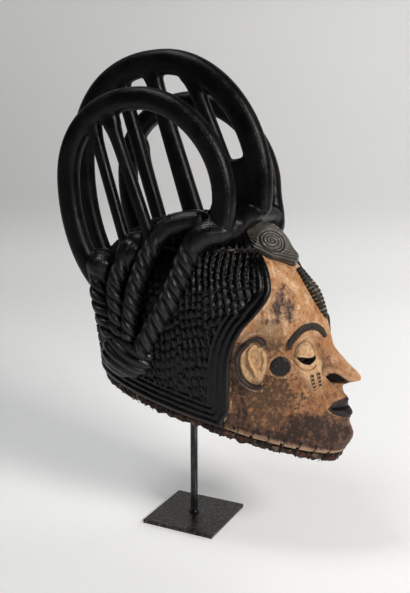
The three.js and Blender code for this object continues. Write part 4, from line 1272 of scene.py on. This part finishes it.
def carved_tongue():
    """Leaf-shaped tongue of hair over the forehead, steep on both sides, with nested grooves and coils."""
    bm = blank("run", "turn", "cut")
    knots = np.linspace(0, 1, len(TONGUE_LINE))

    def size(t):
        return np.interp(t, knots, (26, 39, 31, 5)), np.interp(t, knots, (9, 8.5, 8, 5.5))

    verts = limb(bm, drawn(TONGUE_LINE, 60), size, 170, 130, power=2.1, end=0.5)
    p = places(verts)
    run, = marked(bm, verts, "run")
    share = run / run.max()
    wide = size(share)[0]
    beside = np.clip(np.abs(p[:, 0]) / wide, 0, 1)
    _, depths, heights = np.array(TONGUE_LINE[::-1]).T
    above_middle = p[:, 2] - np.interp(p[:, 1], depths, heights)
    top = eased(-1.5, 1.5, above_middle)
    crest_high = 19 * flow(p[:, 1], *np.array(TONGUE_CREST).T)
    p[:, 2] += top * crest_high * (1 - beside) ** 0.9
    from_border = (wide - np.abs(p[:, 0])) * 1.15 + above_middle * 0.8
    lines = faded(0.15, 0.85, ridged(from_border, TONGUE_PITCH))
    lines = lines * eased(-7, -6, from_border) * faded(14, 16, from_border)
    flat = one_side(p) - COIL_AT
    ahead, up = flat @ COIL_ALONG, flat @ COIL_UP
    reach = np.hypot(ahead, up)
    coil = reach + COIL_PITCH * np.arctan2(up, ahead) / TURN
    in_coil = faded(COIL_RADIUS - 1.4, COIL_RADIUS, reach)
    cut = (1 - in_coil) * lines + in_coil * faded(0.15, 0.85, ridged(coil, COIL_PITCH))
    cut = np.maximum(cut, nearness(reach, COIL_RADIUS, 0.5, 1.6))
    out = np.column_stack([np.sign(p[:, 0]) * 0.6 * beside ** 0.5, 0 * run - 0.25, 0 * run + 0.75])
    cut = cut * eased(0.1, 0.3, share) * eased(-7, -5, above_middle)
    p -= out * (2.3 * cut)[:, None]
    mark(bm, verts, cut=cut)
    move(verts, p)
    finished("carved_tongue", bm, "carved_wood", TONGUE_WOOD, rounds=7)


# Hoops

HOOP_X = 70.0
# For the front and the back half: reach, height of the widest place, rise over it, roundness, drop of the
# foot, and how far the foot curls under
MIDDLE_HOOP = dict(apex=38, wide=24, deep=31, front=(142.4, 440, 162.7, 1.9, 113, 0.3),
                   back=(140, 460, 142.7, 2.3, 191, 0.98))
SIDE_HOOP = dict(apex=32.5, wide=24, deep=27, front=(120.5, 432, 123.5, 1.85, 85, 0.5),
                 back=(117.5, 445, 110.5, 2.17, 150, 1.0))
HOOP_MIDDLE_Z = 440.0
HOOPS = ((MIDDLE_HOOP, 0), (SIDE_HOOP, -HOOP_X), (SIDE_HOOP, HOOP_X))
STRUT_WIDEST = 9.6
# Place across, top and foot as depth and height, half thickness at the top and at the foot
STRUTS = [
    (-HOOP_X, (101, 520), (46, 340), 7, 7), (-HOOP_X, (76, 525), (18, 372), 7.5, 7.5),
    (HOOP_X, (116, 492), (70, 340), 6.5, 6.5), (HOOP_X, (76, 525), (18, 372), 7.5, 7.5),
    (0, (105, 575), (40, 370), 9, 9), (0, (61, 588), (-9, 380), 9.5, 14), (0, (8, 582), (-60, 432), 10, 7),
]
# Corners of the solid web from the front to the back, as depth and height, below and above
WEB_LOW, WEB_HIGH, WEB_THICK = ((-85, 380), (-15, 385)), ((-88, 478), (-46, 470)), 15
# Soft feet of the side hoops, as centre and radii
ROOTS = [((60, -76, 393), (14, 15, 12)), ((66, 40, 370), (16, 18, 18)), ((64, 93, 340), (18, 20, 24))]
# Middle lines of the bar across the front feet, and of the left hoop's foot
SADDLE = [(-66, -80, 394), (-46, -80, 403), (-22, -80, 405), (0, -80, 406), (22, -80, 405), (46, -80, 403),
          (66, -80, 394)]
FAR_FOOT = [(69, -75, 440), (68, -77, 420), (66, -81, 402), (62, -83, 386), (56, -80, 374)]


def hoop_line(hoop, x):
    """Middle line of a hoop, from its front foot over the top to its back foot."""
    front_foot, back_foot = hoop["front"][5], hoop["back"][5]
    angle = np.linspace(-math.pi / 2 - front_foot, math.pi / 2 + back_foot, 500)
    inset = hoop["deep"] / 2
    reach, centre, rise, power, drop, _ = [
        np.where(angle < 0, f, b) for f, b in zip(hoop["front"], hoop["back"])
    ]
    below = np.abs(angle) > math.pi / 2
    power = np.where(below, 2, power)
    sine, cosine = np.sin(angle), np.cos(angle)
    # the front foot goes down almost straight
    upright = np.where(below & (angle < 0), 4.5, power)
    y = hoop["apex"] + (reach - inset) * np.sign(sine) * np.abs(sine) ** (2 / upright)
    up = np.sign(cosine) * np.abs(cosine) ** (2 / power)
    z = centre + np.where(below, drop, rise - inset) * up
    return evenly(np.column_stack([0 * y + x, y, z]), 240)


def strut(bm, x, top, foot, top_half, foot_half):
    """Bar from the head to a hoop, which widens towards the hoop."""
    line = np.linspace((x, *foot), (x, *top), 60)
    length = gone_along(line)[-1]

    def size(t):
        flare = 0.45 * np.exp(-((1 - t) * length - 14) / 9)
        half = (foot_half + (top_half - foot_half) * t) * (1 + np.clip(flare, 0, 0.5))
        return np.minimum(half * 1.05, STRUT_WIDEST), half

    limb(bm, line, size, 24, 60, power=2.6, end=0.3)


def carved_hoops():
    """Three hoops, their struts, web and feet, carved as one piece with soft corners between them."""
    bm = blank("run", "turn")
    for hoop, x in HOOPS:
        size = even_size(hoop["wide"] / 2, hoop["deep"] / 2)
        limb(bm, hoop_line(hoop, x), size, 40, 240, power=2.6, end=0.6)
    for measures in STRUTS:
        strut(bm, *measures)
    for vert in bmesh.ops.create_cube(bm, size=1)["verts"]:
        y, z = (WEB_HIGH if vert.co.z > 0 else WEB_LOW)[int(vert.co.y > 0)]
        vert.co = (vert.co.x * WEB_THICK, y, z)
    for centre, radii in ROOTS:
        for side in (-1, 1):
            verts, _, _ = globe(bm, 36, 24)
            move(verts, np.array(centre) * (side, 1, 1) + places(verts) * radii)
    limb(bm, drawn(SADDLE, 90), even_size(15, 12), 36, 90, power=2.2, flat=BACKWARDS)
    limb(bm, drawn(FAR_FOOT, 60), even_size(12.5, 13), 30, 40, power=2.6)
    piece = finished("carved_hoops", bm, "carved_wood", HOOP_WOOD)
    one = piece.modifiers.new("one_carving", "REMESH")
    one.mode = "VOXEL"
    one.voxel_size = 1.9 * MM
    soft = piece.modifiers.new("soft_corners", "SMOOTH")
    soft.factor = 0.5
    soft.iterations = 12
    mesh = settled(piece)
    mesh.polygons.foreach_set("use_smooth", [True] * len(mesh.polygons))
    if not mesh.materials:
        mesh.materials.append(HOOP_WOOD)
    mark_hoop_edges(mesh)
    mark_height(mesh, 10)


def mark_hoop_edges(mesh):
    """Marks how deep each place lies under its hoop's outer edge, for the two thin lines cut along it."""
    points = mesh_points(mesh)
    elsewhere = 50.0
    from_edge = np.full(len(points), elsewhere)
    for hoop, x in HOOPS:
        line = hoop_line(hoop, 0.0)[:, 1:]
        close = np.abs(points[:, 0] - x) < hoop["wide"] / 2 + 2
        flat = points[close][:, 1:]
        apart, along = reach_to(flat, line[::4])
        nearest = read_off(along, np.linspace(0, along.max(), len(line)), line)
        outward = (nearest - (hoop["apex"], HOOP_MIDDLE_Z)) * (flat - nearest)
        half = hoop["deep"] / 2
        depth = half - np.sign(outward.sum(1)) * apart
        from_edge[close] = np.where(apart < half + 1.5, depth, elsewhere)
    mark_mesh(mesh, "from_edge", from_edge)


# Ears, brows, marks and the ridge of the forehead

INNER_FOLD = [
    (70.3, -116.9, 266.3), (72.2, -111.5, 263.7), (73.3, -108.4, 255.3), (72.9, -109.6, 245.9),
    (71.4, -114, 236.5), (70.1, -117.3, 227.1),
]
EAR_FRONT = [(68.5, -121.9, 260.3), (67.3, -125.3, 248.6), (68.5, -122.4, 234.2)]


def carved_ears():
    """Rims of the ears, with their inner folds."""
    bm = blank("run", "turn")
    for side in (-1, 1):
        line = drawn(HELIX, 90)
        middle = (0, *EAR_CENTRE)
        line = middle + (line - middle) * (1, 0.95, 0.955)
        limb(bm, line * (side, 1, 1), lambda t: (5.0 + 0 * t, 3.3 - 1.2 * np.abs(2 * t - 1) ** 3),
             26, 170, power=2.6, end=1.6)
    finished("carved_ears", bm, "carved_wood", EAR_WOOD, rounds=6)
    folds = blank("run", "turn", "clay")
    for side in (-1, 1):
        for points, wide, deep in ((INNER_FOLD, 3.0, 1.9), (EAR_FRONT, 2.6, 2.2)):
            limb(folds, drawn(points, 60) * (side, 1, 1), even_size(wide, deep), 18, 90,
                 power=2.2, end=3.0, clay=0.75)
    finished("ear_folds", folds, "carved_wood", FACE_WOOD, rounds=6)


def carved_brows():
    """Raised brows, cut across with short hatches."""
    bm = blank("run", "turn")

    def size(t):
        half = 4.5 * np.sin(math.pi * np.interp(t, (0, 1), (0.1, 0.9))) ** 0.4
        return half, half * 0.55

    def carve(run, angle):
        return 0.72 + 0.28 * eased(0.1, 0.6, ridged(run + 1.2 * np.sin(angle), BROW_PITCH))

    for side in (-1, 1):
        line = drawn(BROW, 90)
        line = line + head_out(line, 0) * 0.4
        limb(bm, line * (side, 1, 1), size, 16, 190, flat=UPWARDS, carve=carve)
    finished("carved_brows", bm, "carved_wood", BROW_WOOD, rounds=6)


def carved_discs():
    """Round black mark on each temple, roughly dabbed."""
    bm = blank("run", "turn")
    # reach from the middle and height over the skin, from the middle of the face to the foot of the edge
    profile = np.array([(0, 1.3), (4, 1.4), (7.5, 1.5), (9.6, 1.4), (10.6, 1.1), (11.2, 0.7), (11.6, 0.2),
                        (DISC_RADIUS, -1), (DISC_RADIUS, -4)])
    at = np.array([[head_x(DISC_Y, DISC_Z, 0), DISC_Y, DISC_Z]])
    at = at + head_out(at, 0) * (face_relief(at)[0][0] + 0.6)
    for side in (-1, 1):
        out = Vector(head_out(at, 0)[0] * (side, 1, 1))
        steep = np.array(out.to_track_quat("Z", "Y").to_matrix())
        verts, t, angle = globe(bm, 48, 40)
        reach, rise = read_off(np.minimum(t * 2, 1), np.linspace(0, 1, len(profile)), profile).T
        reach = np.where(t > 0.5, DISC_RADIUS * (2 - 2 * t), reach)
        flat = np.column_stack([reach * np.cos(angle), reach * np.sin(angle), rise])
        flat[:, 2] += [0.9 * noise.noise(Vector(f) * 0.45) * (f[2] > 0) for f in flat]
        move(verts, at[0] * (side, 1, 1) + flat @ steep.T)
        mark(bm, verts, run=reach, turn=angle)
    finished("carved_discs", bm, "carved_wood", DISC_WOOD, rounds=6)


def carved_ridge():
    """Ridge down the middle of the forehead, cut across into ribs."""
    bm = blank("run", "turn")
    line = drawn([(0, -139, 347), (0, -146.5, 336.5), (0, -153, 328.5), (0, -159.5, 321), (0, -164.5, 312),
                  (0, -168.5, 303), (0, -171.5, 295), (0, -173, 287)], 80)

    def size(t):
        wide = flow(t, [0, 0.2, 0.45, 0.7, 0.9, 1], [5, 6.5, 7, 6, 4, 2.5])
        return wide, flow(t, [0, 0.3, 0.6, 0.9, 1], [4, 6.2, 6.4, 5, 4])

    def carve(run, angle):
        return 0.86 + 0.14 * eased(0.1, 0.6, ridged(run, RIDGE_PITCH))

    limb(bm, line, size, 40, 180, power=2.4, carve=carve)
    finished("carved_ridge", bm, "carved_wood", RIDGE_WOOD, rounds=6)


BEADS_Z = 221.0


def cheek_beads():
    """Two short bars under each eye, each cut into a row of small squares."""
    bm = blank("run", "turn")
    # middle lines of the two bars, straight on to the eye
    columns = [[(2.6, 230), (2, 223.5), (0.8, 217), (-1, 210.5)],
               [(-5.2, 231.5), (-5.4, 225.5), (-6.4, 219), (-7.6, 213)]]
    for side in (-1, 1):
        for column in columns:
            seen = drawn(column, 50)
            x = EYE[0] + seen[:, 0] * math.cos(EYE_TURN)
            skin = head_point(np.linspace(0, 1.2, 400), np.full(400, BEADS_Z), 0)
            y = np.interp(x, skin[:, 0], skin[:, 1])
            line = np.column_stack([x, y, seen[:, 1]])
            face = line + head_out(line, 0) * (face_relief(line)[0] + 0.3)[:, None]
            limb(bm, face * (side, 1, 1), even_size(2.2, 1.0), 14, 90, power=3.5, end=0.8,
                 flat=np.array([0.8 * side, 0.6, 0.0]))
    finished("cheek_beads", bm, "carved_wood", BEAD_WOOD, rounds=5)


# Rim roll and stitches

def rim_point(angle):
    """Middle of the wall on the rim's plane, at angles from the face."""
    point = head_point(angle, np.full(len(angle), RIM_CHIN_Z), -WALL / 2)
    for _ in range(RIM_STEPS):
        point = head_point(angle, rim_height(point[:, 1]), -WALL / 2)
    return point


DOWN = np.array([0.0, math.sin(RIM_TILT), -math.cos(RIM_TILT)])


def rim_frame(angle):
    """Centre of the roll and the way out of the head there."""
    gap, step = 0.3, 0.02
    centre = rim_point(angle) + DOWN * (BINDING_RADIUS + gap)
    along = rim_point(angle + step) - rim_point(angle - step)
    out = -np.cross(along / np.linalg.norm(along, axis=1, keepdims=True), DOWN)
    return centre, out


def ripple(place, seed, waves=6):
    """Gentle unevenness along a closed ring, the same each time."""
    chance = np.random.RandomState(seed)
    total = 0 * place
    for k in range(waves):
        total = total + np.sin(place * chance.randint(3 + 4 * k, 9 + 8 * k) + chance.uniform(0, TURN)) / waves
    return total


def rim_length(count):
    """Angles all round the rim, and how far along the rim each of them is."""
    arc = np.linspace(0, TURN, count)
    return arc, gone_along(rim_point(arc))


def rim_roll():
    """Roll of cloth sewn under the rim, pinched by each stitch."""
    bm = blank("run", "turn")
    verts, u, v = grid(bm, 520, 26)
    angle, turn = u * TURN, v * TURN
    centre, out = rim_frame(angle)
    around = out * np.cos(turn)[:, None] + DOWN * np.sin(turn)[:, None]
    pinches = 31
    pinch = np.abs(np.sin(angle * pinches / 2 + 0.4 * np.sin(angle * 5)))
    folds = ripple(angle, 5) * 0.5 + 0.3 * np.sin(3 * turn + 9 * np.sin(angle * 7))
    surface = [Vector(place) for place in centre + BINDING_RADIUS * around]
    torn = np.array([noise.noise(place * 0.11) + 0.6 * noise.noise(place * 0.37) for place in surface])
    torn = torn * (1.4 + 2.2 * eased(0, 1, np.sin(turn)))
    radius = BINDING_RADIUS * (0.86 + 0.1 * pinch ** 0.6) + folds + torn
    down_reach = np.where(np.sin(turn) > 0, radius, radius * 0.97)
    points = centre + out * (radius * np.cos(turn))[:, None] + DOWN * (down_reach * np.sin(turn))[:, None]
    move(verts, points)
    mark(bm, verts, run=np.interp(angle, *rim_length(800)), turn=turn)
    finished("rim_roll", bm, "sewn_fibre", CLOTH, node="rim_binding", rounds=8)


def stitch(bm, angle, lean):
    """Thread from inside the wall through a hole over the rim and round the roll."""
    (centre,), (out,) = rim_frame(np.array([angle]))
    hole = head_point(np.array([angle]), rim_height(centre[1:2]) + 6.5, 0.3)[0]
    lean = np.cross(out, DOWN) * lean
    loop = [hole - out * 3.5, hole + out * 0.6, centre + out * 6.3 - DOWN * 2.6,
            centre + out * 5.6 + DOWN * 3.1 + lean, centre + DOWN * 6.4 + lean,
            centre - out * 5.2 + DOWN * 3.4, centre - out * 5.0 - DOWN * 4.6]
    limb(bm, drawn(loop, 40), even_size(0.75, 0.75), 8, 40)


def frayed_end(bm, angle, chance):
    """Loose fibre that stands off the roll."""
    (centre,), (out,) = rim_frame(np.array([angle]))
    turn = chance.uniform(-0.6, 1.7)
    start = centre + out * 5.2 * math.cos(turn) + DOWN * 5.2 * math.sin(turn)
    away = out * chance.uniform(-0.2, 0.7) + DOWN * chance.uniform(0.2, 1)
    away = away + np.cross(out, DOWN) * chance.uniform(-1.6, 1.6)
    tip = start + away * chance.uniform(2, 4.2)
    middle = (start + tip) / 2 + out * chance.uniform(0, 1.2)
    thick = chance.uniform(0.22, 0.5)
    limb(bm, drawn([start, middle, tip], 8), even_size(thick, thick), 4, 7)


# Where the roll is frayed: angles back from the face on the mask's right, and how many fibres
FRAYED = ((2.35, 2.75, 60), (1.95, 2.25, 46), (1.62, 1.9, 60), (3.5, 4.0, 50), (0.25, 0.5, 10))


def rim_stitches():
    """Dark thread through the holes over the rim and round the roll, with frayed ends in places."""
    bm = blank("run", "turn")
    chance = np.random.RandomState(11)
    arc, gone = rim_length(2000)
    for spot in np.arange(6, gone[-1] - 6, STITCH_PITCH):
        stitch(bm, np.interp(spot, gone, arc), chance.uniform(-1.5, 1.5))
    for low, high, count in FRAYED:
        for _ in range(count):
            frayed_end(bm, TURN - chance.uniform(low, high), chance)
    finished("rim_stitches", bm, "sewn_fibre", THREAD, node="rim_binding", rounds=4)


# Stand

def steel_rod():
    """Rod with a small weld round its foot."""
    bm = blank("run", "turn")
    low, high = [c.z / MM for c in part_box("stand_rod")]
    verts, t, angle = globe(bm, 48, 60)
    t = 1 - t
    # share of the rings below, radius and height there: the weld, the rod and its softened end
    knots = np.array([
        (0, 0, low), (0.01, 7.2, low), (0.02, 7.0, low + 0.8), (0.03, 6.2, low + 1.8), (0.04, 5.2, low + 2.8),
        (0.05, 4.8, low + 3.6), (0.97, 4.8, high - 0.5), (0.985, 4.5, high), (1, 0, high),
    ])
    radius, height = read_off(t, knots[:, 0], knots[:, 1:]).T
    weld = (t > 0.005) & (t < 0.045)
    radius = radius + weld * 0.25 * np.sin(angle * 19) * np.sin(angle * 3 + 1)
    move(verts, np.column_stack([radius * np.cos(angle), radius * np.sin(angle), height]))
    mark(bm, verts, run=height, turn=angle)
    finished("steel_rod", bm, "stand_steel", STEEL, node="stand_rod", rounds=3)


def steel_plate():
    """Square plate with softened edges."""
    bm = blank("run", "turn")
    low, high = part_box("stand_plate")
    bmesh.ops.create_cube(bm, size=1)
    bmesh.ops.scale(bm, vec=(high - low) / MM, verts=bm.verts)
    bmesh.ops.translate(bm, vec=(high + low) / 2 / MM, verts=bm.verts)
    bmesh.ops.bevel(bm, geom=bm.edges, offset=0.8, segments=3, profile=0.5, affect="EDGES", material=-1)
    finished("steel_plate", bm, "stand_steel", STEEL, node="stand_plate", smooth=False)


for make in (carved_head, carved_hair, carved_tresses, carved_tongue, carved_hoops, carved_ears, carved_brows,
             carved_discs, carved_ridge, cheek_beads, rim_roll, rim_stitches, steel_rod, steel_plate):
    make()


# The stage: backdrop, lamps and camera

def stage():
    """White paper that curves up behind the stand, seen from the camera's side; its measures are metres."""
    bm = bmesh.new()
    verts, u, v = grid(bm, 2, 60)
    curve_start, curve_end, curve_radius, wide, near_end = 0.55, 0.75, 0.9, 9.0, -2.4
    turn = np.clip((v - curve_start) / (curve_end - curve_start), 0, 1) * math.pi / 2
    run = np.minimum(v, curve_start) / curve_start * 4.0 + near_end + curve_radius * np.sin(turn)
    rise = curve_radius * (1 - np.cos(turn)) + np.maximum(v - curve_end, 0) * 14
    ahead = np.array([-math.sin(CAMERA_AROUND), math.cos(CAMERA_AROUND)])
    right = np.array([math.cos(CAMERA_AROUND), math.sin(CAMERA_AROUND)])
    move(verts, np.column_stack([ahead * run[:, None] + right * ((u - 0.5) * wide)[:, None], rise]))
    bmesh.ops.recalc_face_normals(bm, faces=bm.faces)
    backdrop = made_object("backdrop", bm)
    material, tree, shader = fresh("pale_paper")
    feed(tree, shader, color=(0.9, 0.9, 0.89, 1), roughness=0.9)
    height = put(tree, "ShaderNodeSeparateXYZ", {0: here(tree)}).outputs[2]
    tree.links.new(ramp(tree, height, 0.25, 0.0, 0.0, 0.15), shader.inputs["Emission Strength"])
    shader.inputs["Emission Color"].default_value = (1, 1, 1, 1)
    backdrop.data.materials.append(material)


def lamp(name, place, target, size, power, colour=(1, 1, 1), glints=True):
    """Square lamp that looks from one place to another."""
    light = bpy.data.lights.new(name, "AREA")
    light.size = size
    light.energy = power
    light.color = colour
    lamp_object = bpy.data.objects.new(name, light)
    lamp_object.location = place
    lamp_object.rotation_euler = (Vector(target) - Vector(place)).to_track_quat("-Z", "Y").to_euler()
    lamp_object.visible_glossy = glints
    bpy.context.scene.collection.objects.link(lamp_object)


def studio():
    """Lamps, faint light all round, and the camera of the photo."""
    bpy.context.scene.view_settings.view_transform = "Standard"
    world = bpy.data.worlds.new("studio")
    world.use_nodes = True
    sky = world.node_tree.nodes["Background"].inputs
    sky["Color"].default_value = (0.9, 0.95, 1.0, 1)
    sky["Strength"].default_value = 0.05
    bpy.context.scene.world = world
    lamp("key", (-0.75, -1.85, 1.45), (0, 0, 0.3), 0.7, 40, (1.0, 0.97, 0.93))
    lamp("top", (-0.4, 0.4, 1.9), (0, 0, 0.4), 0.5, 9, (0.96, 0.98, 1.0))
    lamp("backdrop", (1.48, -0.9, 1.2), (1.4, 0.5, 0.0), 0.9, 13, glints=False)
    lamp("backfill", (1.9, 1.9, 1.3), (1.7, 1.0, 0.3), 0.9, 1.5, glints=False)
    camera = bpy.data.cameras.new("camera")
    camera.lens = 49.96
    camera.sensor_fit = "VERTICAL"
    camera.sensor_height = 36
    holder = bpy.data.objects.new("camera", camera)
    holder.location = (-0.9096, -0.4656, 0.51)
    level = math.cos(CAMERA_ABOVE)
    back = Vector((math.sin(CAMERA_AROUND) * level, -math.cos(CAMERA_AROUND) * level, math.sin(CAMERA_ABOVE)))
    holder.rotation_euler = back.to_track_quat("Z", "Y").to_euler()
    bpy.context.scene.collection.objects.link(holder)
    bpy.context.scene.camera = holder


stage()
studio()
